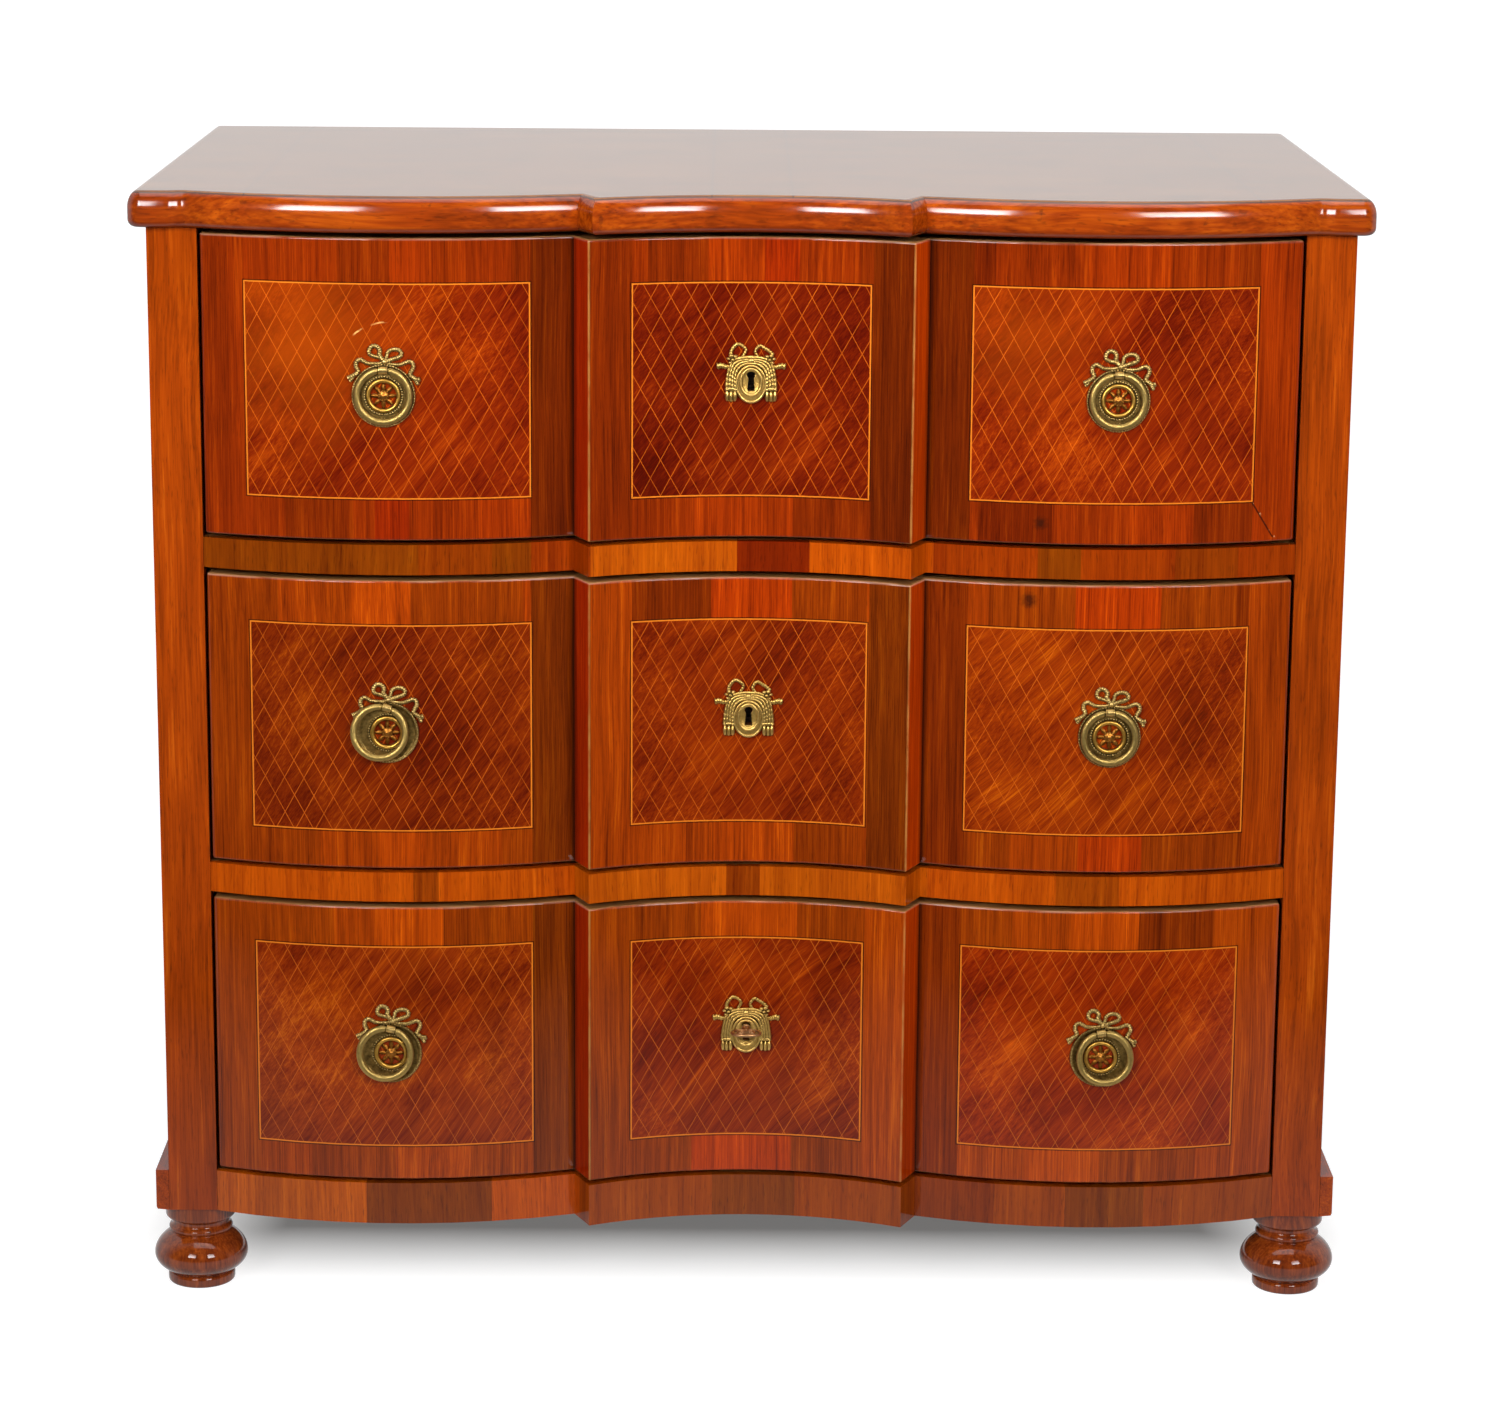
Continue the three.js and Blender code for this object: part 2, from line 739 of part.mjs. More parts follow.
function lockCase(axis, frontTop) {
  const body = block(-lockHalfWidth, lockHalfWidth, lockFront, frontBack, axis - lockBelow, axis + lockAbove);
  const coverTop = frontTop - frontRound;
  const cover = block(-coverHalfWidth, coverHalfWidth, frontBack - coverThickness, frontBack, axis, coverTop);
  const cavity = prismY(
    circlePoints(0, axis, lockCavity, cavitySides),
    lockFront + lockWall,
    frontBack - cavityFloor,
  );
  const mouth = prismY(keyholePoints(axis, seat), lockFront - overrun, lockFront + lockWall + seat);
  return shaped([body, cover], [cavity, mouth, boltWay(axis, axis + lockAbove + overrun, seat)]);
}

function lockBolt(axis, frontTop) {
  const bottom = axis + lockCavity + boltDrop + boltClear;
  return block(
    -boltHalfWidth,
    boltHalfWidth,
    boltFront,
    boltFront + boltThickness,
    bottom,
    frontTop - boltRecess,
  );
}

// What a front loses to its lock: a pocket, the cover's recess, the bolt's way and the keyhole.
function lockCuts(axis, frontTop) {
  const pocket = block(
    -lockHalfWidth - seat,
    lockHalfWidth + seat,
    lockFront - seat,
    frontBack + overrun,
    axis - lockBelow - seat,
    axis + lockAbove + seat,
  );
  const recess = block(
    -coverHalfWidth - seat,
    coverHalfWidth + seat,
    frontBack - coverThickness - seat,
    frontBack + overrun,
    axis,
    frontTop + overrun,
  );
  const keyhole = prismY(keyholePoints(axis, seat), hollowFront, lockFront + overrun);
  return [pocket, recess, boltWay(axis, frontTop + overrun, seat), keyhole];
}

// Drawers, in the frame of their bay's floor

function frontOutline(back) {
  const shoulder = drawerHalf - frontCorner;
  return bothSides([
    ...halfFront(shoulder),
    ...roundedCorner(drawerHalf, lobeY(shoulder), frontCorner),
    new THREE.Vector2(drawerHalf, back),
  ]);
}

// The dovetails between two levels: the middle of each and the half widths of its root and tip.
function tailRow(low, high, count) {
  const pitch = (high - low) / count;
  return Array.from({ length: count }, (_, i) => ({
    middle: low + pitch * (i + 1 / 2),
    root: (pitch * tailRootShare) / 2,
    tip: (pitch * tailTipShare) / 2,
  }));
}

// The corners of a row of tails that stand out from y = shoulder to y = tipY, from the lowest up.
function tailCorners(row, shoulder, tipY) {
  return row.flatMap(({ middle, root, tip }) => [
    new THREE.Vector2(shoulder, middle - root),
    new THREE.Vector2(tipY, middle - tip),
    new THREE.Vector2(tipY, middle + tip),
    new THREE.Vector2(shoulder, middle + root),
  ]);
}

// Sockets for a row of tails, open through the end of the board that holds them.
function tailSockets(sign, row, shoulder, tipY) {
  const direction = Math.sign(tipY - shoulder);
  const slope = (row[0].tip - row[0].root) / Math.abs(tipY - shoulder);
  const openY = shoulder - direction * overrun;
  const closedY = tipY + direction * seat;
  return row.map(({ middle, root }) => {
    const openHalf = root - slope * overrun + seat;
    const closedHalf = openHalf + slope * Math.abs(closedY - openY);
    const points = [
      new THREE.Vector2(openY, middle - openHalf),
      new THREE.Vector2(closedY, middle - closedHalf),
      new THREE.Vector2(closedY, middle + closedHalf),
      new THREE.Vector2(openY, middle + openHalf),
    ];
    const inner = drawerHalf - boardThickness - seat;
    const outer = drawerHalf + overrun;
    return prismX(points, Math.min(sign * inner, sign * outer), Math.max(sign * inner, sign * outer));
  });
}

function drawerLevels(height) {
  const frontTop = height - frontGapAbove;
  const sideTop = frontTop - sideDrop;
  const panelBottom = seat + panelRise;
  const panelTop = panelBottom + panelThickness;
  const backBottom = panelTop + seat;
  const backTop = sideTop - backDrop;
  return {
    frontTop,
    sideTop,
    panelBottom,
    panelTop,
    backBottom,
    backTop,
    frontRow: tailRow(seat, sideTop, frontTails),
    backRow: tailRow(backBottom, backTop, backTails),
  };
}

const sideShoulder = frontBack + seat;
const frontTip = frontBack - tailReach;

function drawerFront(levels, axis, pullZ) {
  const edge = roundedEdge(frontGapBelow, levels.frontTop, frontRound, frontRound, frontEdgeSteps);
  const board = roundedBoard(frontOutline, frontBack, edge);
  const sockets = sides.flatMap(({ sign }) => tailSockets(sign, levels.frontRow, frontBack, frontTip));
  const grooveHalf = drawerHalf - boardThickness + grooveDepth;
  const groove = block(
    -grooveHalf,
    grooveHalf,
    frontBack - grooveDepth,
    frontBack + overrun,
    levels.panelBottom - seat,
    levels.panelTop + seat,
  );
  const shankHoles = sides.map(({ sign }) => {
    const rim = circlePoints(sign * pullX, pullZ + ringMiddle, shankRadius + seat, lugSides);
    return prismY(rim, lobeFront - overrun, frontBack + overrun);
  });
  return shaped([board], [...sockets, groove, ...shankHoles, ...lockCuts(axis, levels.frontTop)]);
}

function drawerSide(sign, levels) {
  const outline = [
    new THREE.Vector2(drawerLength, seat),
    new THREE.Vector2(drawerLength, levels.backBottom - seat),
    new THREE.Vector2(drawerBackFace, levels.backBottom - seat),
    ...tailCorners(levels.backRow, drawerBackFace, drawerLength),
    new THREE.Vector2(drawerBackFace, levels.backTop + seat),
    new THREE.Vector2(drawerLength, levels.backTop + seat),
    new THREE.Vector2(drawerLength, levels.sideTop),
    new THREE.Vector2(sideShoulder, levels.sideTop),
    ...tailCorners(levels.frontRow, sideShoulder, frontTip + seat).reverse(),
    new THREE.Vector2(sideShoulder, seat),
  ];
  const inner = drawerHalf - boardThickness;
  const board = prismX(outline, Math.min(sign * inner, sign * drawerHalf), Math.max(sign * inner, sign * drawerHalf));
  const groove = sideBlock(
    sign,
    inner - overrun,
    inner + grooveDepth,
    frontTip - overrun,
    drawerLength + overrun,
    levels.panelBottom - seat,
    levels.panelTop + seat,
  );
  return shaped([board], [groove]);
}

function drawerBack(levels) {
  const board = block(
    -drawerHalf,
    drawerHalf,
    drawerBackFace + seat,
    drawerLength,
    levels.backBottom,
    levels.backTop,
  );
  const sockets = sides.flatMap(({ sign }) => tailSockets(sign, levels.backRow, drawerBackFace, drawerLength));
  return shaped([board], sockets);
}

function drawerBottom(levels) {
  const half = drawerHalf - boardThickness + grooveDepth - seat;
  return block(-half, half, frontBack - grooveDepth + seat, drawerLength, levels.panelBottom, levels.panelTop);
}

// Pulls, about the middle of their plate on the front's face

const pullX = (lobeInner + postInner) / 2;
const hingeOut = plateFloor + seat + barRadius;

function plateProfile() {
  const mouldInner = mouldRadius - mouldWidth;
  return [
    [mouldInner, 0],
    [plateRadius, 0],
    [plateRadius, plateRim],
    [plateRadius - rimWidth, plateFloor],
    [mouldRadius, plateFloor],
    [mouldRadius - mouldWidth / 3, mouldTop],
    [mouldInner, plateFloor],
    [mouldInner, 0],
  ];
}

// A turned solid that stands out of the plate towards -Y.
function turnedOut(profile, segments) {
  return turned(profile, segments).rotateX(Math.PI / 2);
}

function petals() {
  const count = 2 * petalCount;
  const points = Array.from({ length: count }, (_, i) => {
    const angle = (2 * Math.PI * i) / count;
    const radius = i % 2 ? petalValley : petalRadius;
    return new THREE.Vector2(radius * Math.sin(angle), radius * Math.cos(angle));
  });
  return prismY(points, -petalThickness, 0);
}

// An outline given as shares of the plate's radius, which stands out of the plate's back plane.
function bowPiece(shares, front, hole) {
  const points = shares.map(([x, z]) => new THREE.Vector2(x * plateRadius, z * plateRadius));
  const shape = new THREE.Shape(points);
  if (hole) {
    const [x, z, halfWidth, halfHeight] = hole.map((share) => share * plateRadius);
    shape.holes.push(new THREE.Path(ovalPoints(x, z, halfWidth, halfHeight, loopHoleSides)));
  }
  return prismY(shape, -front, 0);
}

// The lug that holds the ring, with its shank through the front and the nut behind it.
function lugPieces(turn, backDistance) {
  const eye = prismX(circlePoints(-hingeOut, 0, lugRadius, lugSides), -lugWidth / 2, lugWidth / 2);
  const stemHalf = stemWidth / 2;
  const stem = block(-stemHalf, stemHalf, -hingeOut, -petalThickness / 2, -stemHeight / 2, stemHeight / 2);
  const bore = prismX(circlePoints(-hingeOut, 0, lugBore, lugSides), -lugWidth, lugWidth);
  const shank = prismY(circlePoints(0, 0, shankRadius, lugSides), -plateFloor / 2, backDistance + shankEnd);
  const nutFace = backDistance + seat;
  const nut = prismY(circlePoints(0, 0, nutRadius, knobSides), nutFace, nutFace + nutThickness);
  const place = (geometry) => geometry.rotateY(turn).translate(0, 0, ringMiddle);
  return { solid: [eye, stem, shank, nut].map(place), bore: place(bore) };
}

function pullPlate(turn, backDistance) {
  const hub = turnedOut([[0, 0], [hubRadius, 0], [hubRadius, plateRim], [0, hubTop]], lugSides);
  const knot = turnedOut([[0, 0], [knotRadius, 0], [knotRadius, knotShoulder], [0, hubTop]], knobSides);
  knot.translate(0, 0, plateRadius + knotRise);
  const loops = loopShares.map((shares, i) => bowPiece(shares, loopFronts[i], loopHoleShares[i]));
  const tails = tailShares.map((shares, i) => bowPiece(shares, tailFronts[i]));
  const lug = lugPieces(turn, backDistance);
  const plate = turnedOut(plateProfile(), plateSegments);
  return shaped([plate, petals(), hub, knot, ...loops, ...tails, ...lug.solid], [lug.bore]);
}

// The ring about its hinge axis, hanging straight down.
function pullRing() {
  const start = Math.asin(ringShoulder / ringMiddle);
  const path = new THREE.Curve();
  path.getPoint = (t) => {
    const angle = start + (2 * Math.PI - 2 * start) * t;
    return new THREE.Vector3(ringMiddle * Math.sin(angle), 0, ringMiddle * (Math.cos(angle) - 1));
  };
  const hoop = bar(circlePoints(0, 0, barRadius, barSides), path, ringSteps);
  const reach = ringShoulder + barRadius;
  const neck = prismX(circlePoints(0, 0, neckBarRadius, barSides), -reach, reach);
  return shaped([hoop, neck]);
}

// Escutcheons, about the middle of their keyhole; the back touches the hollow at the outer ends.

// A flat ribbon of an escutcheon along a curve of places given as shares of its half width.
function ribbon(shares) {
  const halfThickness = ribbonThickness / 2;
  const path = new THREE.CatmullRomCurve3(
    shares.map(([x, z]) => new THREE.Vector3(x * escutcheonHalf, -halfThickness, z * escutcheonHalf)),
  );
  const section = [
    new THREE.Vector2(-halfThickness, -ribbonWidth / 2),
    new THREE.Vector2(halfThickness, -ribbonWidth / 2),
    new THREE.Vector2(halfThickness, ribbonWidth / 2),
    new THREE.Vector2(-halfThickness, ribbonWidth / 2),
  ];
  return bar(section, path, ribbonSteps);
}

function escutcheon() {
  const drapery = draperyShares.map(([x, z]) => new THREE.Vector2(x * escutcheonHalf, z * escutcheonHalf));
  const plate = prismY(bothSides(drapery), -plateThickness, 0);
  const oval = prismY(
    ovalPoints(0, -ovalDrop, ovalHalfWidth, ovalHalfHeight, ovalSides),
    -ovalThickness,
    0,
  );
  const loops = escutcheonLoopShares.map(ribbon);
  const keyhole = prismY(keyholePoints(keyRoundRise, 0), -ovalThickness - overrun, overrun);
  return shaped([plate, oval, ...loops], [keyhole]);
}

// Key, about its axis, with its bow flat and its bit to the right

function key() {
  const shaftFront = hollowMiddle - keyReach;
  const shaft = prismY(circlePoints(0, 0, keyShaft, keySides), shaftFront - keyBowBar, keyTip);
  const collar = prismY(
    circlePoints(0, 0, keyCollar, keySides),
    shaftFront,
    shaftFront + keyCollarLength,
  );
  const bit = block(0, bitReach, bitFront, bitFront + bitLength, -bitThickness / 2, bitThickness / 2);
  const bowMiddle = shaftFront - keyBowLength / 2;
  const bowOutline = ovalPoints(0, bowMiddle, keyBowHalf, keyBowLength / 2, 2 * keyBowSteps);
  const bow = prismZ(bowOutline, -keyBowThickness / 2, keyBowThickness / 2);
  const holeHalf = (keyBowHalf - keyBowBar * 3 / 2) / 2;
  const holes = sides.map(({ sign }) => {
    const x = sign * (holeHalf + keyBowBar / 2);
    const rim = ovalPoints(x, bowMiddle, holeHalf, keyBowLength / 2 - keyBowBar * 3 / 2, keyBowSteps);
    return prismZ(rim, -keyBowThickness, keyBowThickness);
  });
  const flatBow = shaped([bow], holes);
  return shaped([flatBow, shaft, collar, bit]);
}

// Bays: runners, drawers and their brass

for (const { name, floor, height } of bays) {
  const bay = new THREE.Group();
  bay.position.z = floor;
  chest.add(bay);

  for (const side of sides) {
    addPiece(bay, side.name + "_" + name + "_runner", runner(side.sign), materials.carcase);
  }

  const levels = drawerLevels(height);
  const keyhole = levels.frontTop - keyholeDrops[name];
  const axis = keyhole + keyRoundRise;
  const pullZ = levels.frontTop - pullDrops[name];
  const drawer = name + "_drawer_";
  addPiece(bay, drawer + "front", drawerFront(levels, axis, pullZ), materials.veneer);
  addPiece(bay, drawer + "back", drawerBack(levels), materials.carcase);
  addPiece(bay, drawer + "bottom", drawerBottom(levels), materials.carcase);
  for (const side of sides) {
    addPiece(bay, drawer + side.name + "_side", drawerSide(side.sign, levels), materials.carcase);
  }

  addPiece(bay, name + "_lock_case", lockCase(axis, levels.frontTop), materials.steel);
  addPiece(bay, name + "_lock_bolt", lockBolt(axis, levels.frontTop), materials.steel);

  const shield = addPiece(bay, name + "_escutcheon", escutcheon(), materials.gilt);
  shield.position.set(0, hollowY(escutcheonHalf) - seat, keyhole);

  for (const side of sides) {
    const turn = THREE.MathUtils.degToRad(-pullTurns[name][side.index]);
    const pull = new THREE.Group();
    pull.position.set(side.sign * pullX, lobeFront - seat, pullZ);
    bay.add(pull);
    const backDistance = frontBack - lobeFront + seat;
    const label = name + "_" + side.name + "_pull_";
    addPiece(pull, label + "plate", pullPlate(turn, backDistance), materials.gilt);
    const ring = addPiece(pull, label + "ring", pullRing(), materials.gilt);
    ring.position.set(0, -hingeOut, ringMiddle);
    ring.rotation.set(-THREE.MathUtils.degToRad(pullLifts[name][side.index]), turn, 0, "YXZ");
  }

  if (name === "bottom") {
    const keyPiece = addPiece(bay, "key", key(), materials.gilt);
    keyPiece.position.z = axis;
  }
}

// The middle of the footprint becomes the origin.
chest.position.y = -(slabBack + hollowFront - slabFrontOverhang) / 2;
const root = new THREE.Group();
root.add(chest);

export default root;
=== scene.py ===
"""Looks of a block-front chest of drawers: lacquered veneers with lattice stringing, turned feet, gilt brass."""
import math
import random

import bmesh
import bpy
from mathutils import Matrix, Vector

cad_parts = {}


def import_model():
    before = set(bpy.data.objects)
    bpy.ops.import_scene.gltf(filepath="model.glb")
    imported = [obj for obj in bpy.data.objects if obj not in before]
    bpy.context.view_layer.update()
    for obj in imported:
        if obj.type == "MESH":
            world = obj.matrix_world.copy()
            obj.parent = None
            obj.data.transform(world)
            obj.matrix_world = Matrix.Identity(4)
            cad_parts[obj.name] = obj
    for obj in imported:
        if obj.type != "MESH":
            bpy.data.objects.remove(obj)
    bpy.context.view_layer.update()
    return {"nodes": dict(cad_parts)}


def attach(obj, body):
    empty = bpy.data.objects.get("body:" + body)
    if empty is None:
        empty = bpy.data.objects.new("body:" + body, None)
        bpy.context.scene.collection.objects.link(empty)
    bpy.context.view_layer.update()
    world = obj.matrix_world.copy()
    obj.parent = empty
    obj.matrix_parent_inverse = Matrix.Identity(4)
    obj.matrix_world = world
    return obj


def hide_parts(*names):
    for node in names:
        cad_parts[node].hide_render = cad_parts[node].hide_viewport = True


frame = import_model()

MM = 0.001
POST_FACE = -253.5  # Y of the posts' front
TAU = 2 * math.pi
random.seed(7)

# Case, in millimetres, Y from the posts' front

HALF_FRONT = 440.5
LEVELS = {"top": (643.3, 888.8), "middle": (372.3, 614.3), "bottom": (106.3, 343.3)}
HOLLOW_HALF = 129.0
HOLLOW_MIDDLE = -2.6
HOLLOW_FRONT = -32.5
CANT_OUTER = 142.0
LOBE_START = -3.8
LOBE_FRONT = -30.0
FRONT_BACK = 20.0
SEAT = 0.3

SLAB_LOW, SLAB_HIGH = 893.3, 922.3
SLAB_HALF = 494.5
SLAB_BACK = 553.0
SLAB_FRONT = -13.5
SLAB_BLOCK_INNER = 450.0
SLAB_BLOCK_SWELL = 14.0
SLAB_BLOCK_STEP = 3.3
SLAB_CORNER = 12.0
SLAB_FLAT_RIM = 1.0  # keeps the flat faces flat up to the rounding
BLOCK_STEPS, CORNER_STEPS = 10, 9
SLAB_CANT_SHIFT = 4.0
SLAB_LOW_ROUND = 6.0
SLAB_HIGH_ROUND = 9.0
SLAB_HIGH_DROP = 14.0
SLAB_EDGE_STEPS = 9
SLAB_CORNER_BEVEL = 1.6
BOLT_POCKET = (6.0, 11.3, 18.0, 9.5)  # half width, front, rear and depth of the top's pocket
CURVE_STEPS = 40

FOOT_X = 458.5
FOOT_ROWS = {"front": 31.0, "rear": 514.0}
BALL_RADIUS = 39.0
BALL_MIDDLE = 25.0
BALL_LOW = 20.5
BALL_HIGH = 25.1
BALL_BOTTOM, BALL_TOP = 9.5, 44.0
FOOT_SEGMENTS = 72

# Pulls: places of the plates' middles, how far each ring hangs aside and forwards

PULL_X = 291.25
PULL_Z = {"top": 763.9, "middle": 489.9, "bottom": 219.8}
PULL_TURNS = {"top": (0, 0), "middle": (17, 0), "bottom": (13, -9)}
PULL_LIFTS = {"top": (0, 0), "middle": (7, 0), "bottom": (6, 5)}
RING_MIDDLE = 20.8
HINGE_OUT = 3.7
BAR_RADIUS = 2.75
BAR_FLAT = 0.8  # the bar is an oval, thinner front to back
PIN_RADIUS = 1.55
PIN_REACH = 6.7
BAR_START = 4.3
PLATE_PROFILE = [
    (10.3, 0), (10.3, 1.5), (10.5, 2.2), (11, 2.8), (11.7, 3.15), (12.5, 3.2), (13.2, 2.9), (13.8, 2.3), (14.05, 1.5),
    (14.15, 1.1), (16, 1.05), (16.2, 0.8), (17, 0.7), (21.6, 0.7), (22.6, 0.95), (23.1, 1.45), (23.4, 1.6),
    (25, 1.6), (25.25, 1.3), (25.25, 0),
]
OUTER_BEADS = (66, 24.5, 0.85, 1.35)  # count, circle, radius, height of their middles
INNER_BEADS = (44, 15.1, 0.95, 1.2)
HUB_BEADS = (12, 3.5, 0.62, 1.9)
PLATE_SEGMENTS = 120
PETALS = 8
PETAL_RIB = [(2.6, 0.9, 1.7), (4.4, 1.35, 1.75), (6.2, 1.75, 1.7), (7.8, 1.55, 1.6), (9.2, 0.95, 1.45), (10.6, 0.3, 1.3)]
HUB_PROFILE = [(0, 3.7), (0.9, 3.6), (1.6, 3.2), (1.8, 2.6), (2.6, 2.3), (4.2, 1.9), (4.5, 1.5), (4.5, 0.2), (0, 0.2)]
KNOT_PLACE = (1.1, 27.0)
KNOT_PROFILE = [(0, 3.3), (0.9, 3.2), (1.7, 2.8), (2.2, 2.1), (2.35, 1.3), (2.35, 0.1), (0, 0.1)]
RIBBON_HALF = 1.6
RIBBON_LIFT = 1.05
PULL_RIBBONS = [
    [(0.4, 26.6), (-4.1, 25.6), (-8.5, 25.5), (-12.8, 26), (-15.6, 27.6), (-18.3, 28.7), (-21, 27), (-21.4, 23.4),
     (-20, 20), (-21.2, 17.6), (-24.5, 15.4), (-28, 13.9)],
    [(-22.4, 16.8), (-24.2, 14.2), (-26.6, 11.6)],
    [(1.6, 26.4), (7.4, 24.9), (12.8, 24.8), (16.7, 26), (20.5, 27.4), (23.2, 26.2), (23.8, 22.7), (21.8, 18.8),
     (21.4, 16.6), (23.8, 14.5), (26.8, 13), (29.2, 13.6)],
    [(23, 15.4), (25.6, 12.2), (27.6, 9)],
    [(0.6, 27.4), (-3, 30.4), (-7.5, 31.6), (-10.6, 33.4), (-10.6, 37), (-7.9, 39.6), (-4.6, 39), (-2.4, 36.2),
     (-2.8, 32.6), (0.2, 28)],
    [(1.5, 27.4), (3, 31.4), (3.8, 34.6), (7.2, 36.8), (11.6, 36.8), (14.2, 34.8), (14, 32), (10.9, 30.2),
     (6.5, 28.8), (2, 27)],
]
LEAF_ANGLES = (35, 135, 180, 225, 325)  # round the ring from its hinge, in degrees
LEAF_HALF = 11

# Escutcheons and key

KEYHOLE_Z = {"top": 774.1, "middle": 499.9, "bottom": 232.1}
ESCUTCHEON_HALF = 27.0
KEY_RISE = 4.6
KEY_ROUND = 3.3
KEY_SLOT = (1.9, 2.9, 8.25)  # half width above, half width below, how far down
OVAL_STEPS = 120
INNER_OVAL = (8.4, 10.8, -1.2)  # half width, half height, middle
OUTER_OVAL = (11.6, 14.6, -2.6)
PLEATS, PLEAT_STEP = 4, 2.15

# Veneer panels: half widths and middles along X, levels of each drawer for the side panels and the middle one

SIDE_PANEL = (289.0, 113.0)
MIDDLE_PANEL = 94.5
PANEL_LEVELS = {
    "top": ((680.8, 852.3), (680.8, 852.3)),
    "middle": ((407.6, 577.3), (411.3, 579.3)),
    "bottom": ((139.3, 309.3), (142.3, 311.8)),
}
LATTICE = (16.0, 29.0)
KNOTS = {"top": ((232, 664, 5),), "middle": ((224, 601, 6),)}  # across, up and size
MITRE = (402.0, 680.0, 0.62, 29.0)  # where it starts, across per way down, length
SCRATCH = (-286.0, 778.0, 44.5)  # centre across and up, and radius
LATTICE_LINE = 0.020


def linear(colour):
    """A colour given as 0 to 255, as the light values that shaders take."""
    out = [c / 255 / 12.92 if c <= 10 else ((c / 255 + 0.055) / 1.055) ** 2.4 for c in colour]
    return (*out, 1.0)


class Graph:
    """A node material. A value is a number, a vector or another node's output."""

    def __init__(self, name):
        self.material = bpy.data.materials.new(name)
        self.material.use_nodes = True
        self.tree = self.material.node_tree
        self.tree.nodes.clear()
        coordinates = self.node("ShaderNodeTexCoord").outputs
        self.position = self.vector("SCALE", coordinates["Object"], scale=1 / MM)
        self.facing_up = self.node("ShaderNodeSeparateXYZ", {0: coordinates["Normal"]}).outputs[2]
        split = self.node("ShaderNodeSeparateXYZ", {0: self.position})
        self.x, self.y, self.z = split.outputs

    def node(self, kind, inputs=None, **settings):
        node = self.tree.nodes.new(kind)
        for key, value in settings.items():
            setattr(node, key, value)
        for key, value in (inputs or {}).items():
            self.feed(node.inputs[key], value)
        return node

    def feed(self, socket, value):
        if isinstance(value, bpy.types.NodeSocket):
            self.tree.links.new(value, socket)
        else:
            socket.default_value = value

    def math(self, operation, a, b=0.0, c=0.0, clamp=False):
        node = self.node("ShaderNodeMath", {0: a, 1: b, 2: c}, operation=operation, use_clamp=clamp)
        return node.outputs[0]

    def vector(self, operation, a, b=(0, 0, 0), scale=None):
        inputs = {0: a, 1: b}
        if scale is not None:
            inputs = {0: a, "Scale": scale}
        return self.node("ShaderNodeVectorMath", inputs, operation=operation).outputs[0]

    def combine(self, x, y, z):
        return self.node("ShaderNodeCombineXYZ", {0: x, 1: y, 2: z}).outputs[0]

    def noise(self, vector, detail=3.0, roughness=0.5, distortion=0.0, scale=1.0):
        inputs = {"Vector": vector, "Scale": scale, "Detail": detail, "Roughness": roughness, "Distortion": distortion}
        return self.node("ShaderNodeTexNoise", inputs).outputs[0]

    def spread(self, value, low, high, start=0.0, end=1.0):
        """The value mapped from low..high to start..end, and held there."""
        node = self.node("ShaderNodeMapRange", {0: value, 1: low, 2: high, 3: start, 4: end})
        return node.outputs[0]

    def mix(self, factor, a, b, blend="MIX"):
        node = self.node("ShaderNodeMix", data_type="RGBA", blend_type=blend)
        self.feed(node.inputs[0], factor)
        self.feed(node.inputs[6], a)
        self.feed(node.inputs[7], b)
        return node.outputs[2]

    def ramp(self, factor, stops, interpolation="LINEAR"):
        node = self.node("ShaderNodeValToRGB", {0: factor})
        node.color_ramp.interpolation = interpolation
        elements = node.color_ramp.elements
        while len(elements) < len(stops):
            elements.new(1.0)
        for element, (place, colour) in zip(elements, stops):
            element.position = place
            element.color = linear(colour)
        return node.outputs[0]

    def bump(self, height, distance, strength=1.0):
        inputs = {"Height": height, "Distance": distance * MM, "Strength": strength}
        return self.node("ShaderNodeBump", inputs).outputs[0]

    def finish(self, colour, normal=None, roughness=0.4, **sockets):
        inputs = {"Base Color": colour, "Roughness": roughness, **sockets}
        shader = self.node("ShaderNodeBsdfPrincipled", inputs)
        if normal is not None:
            self.feed(shader.inputs["Normal"], normal)
        output = self.node("ShaderNodeOutputMaterial", {0: shader.outputs[0]})
        return self.material


# Wood


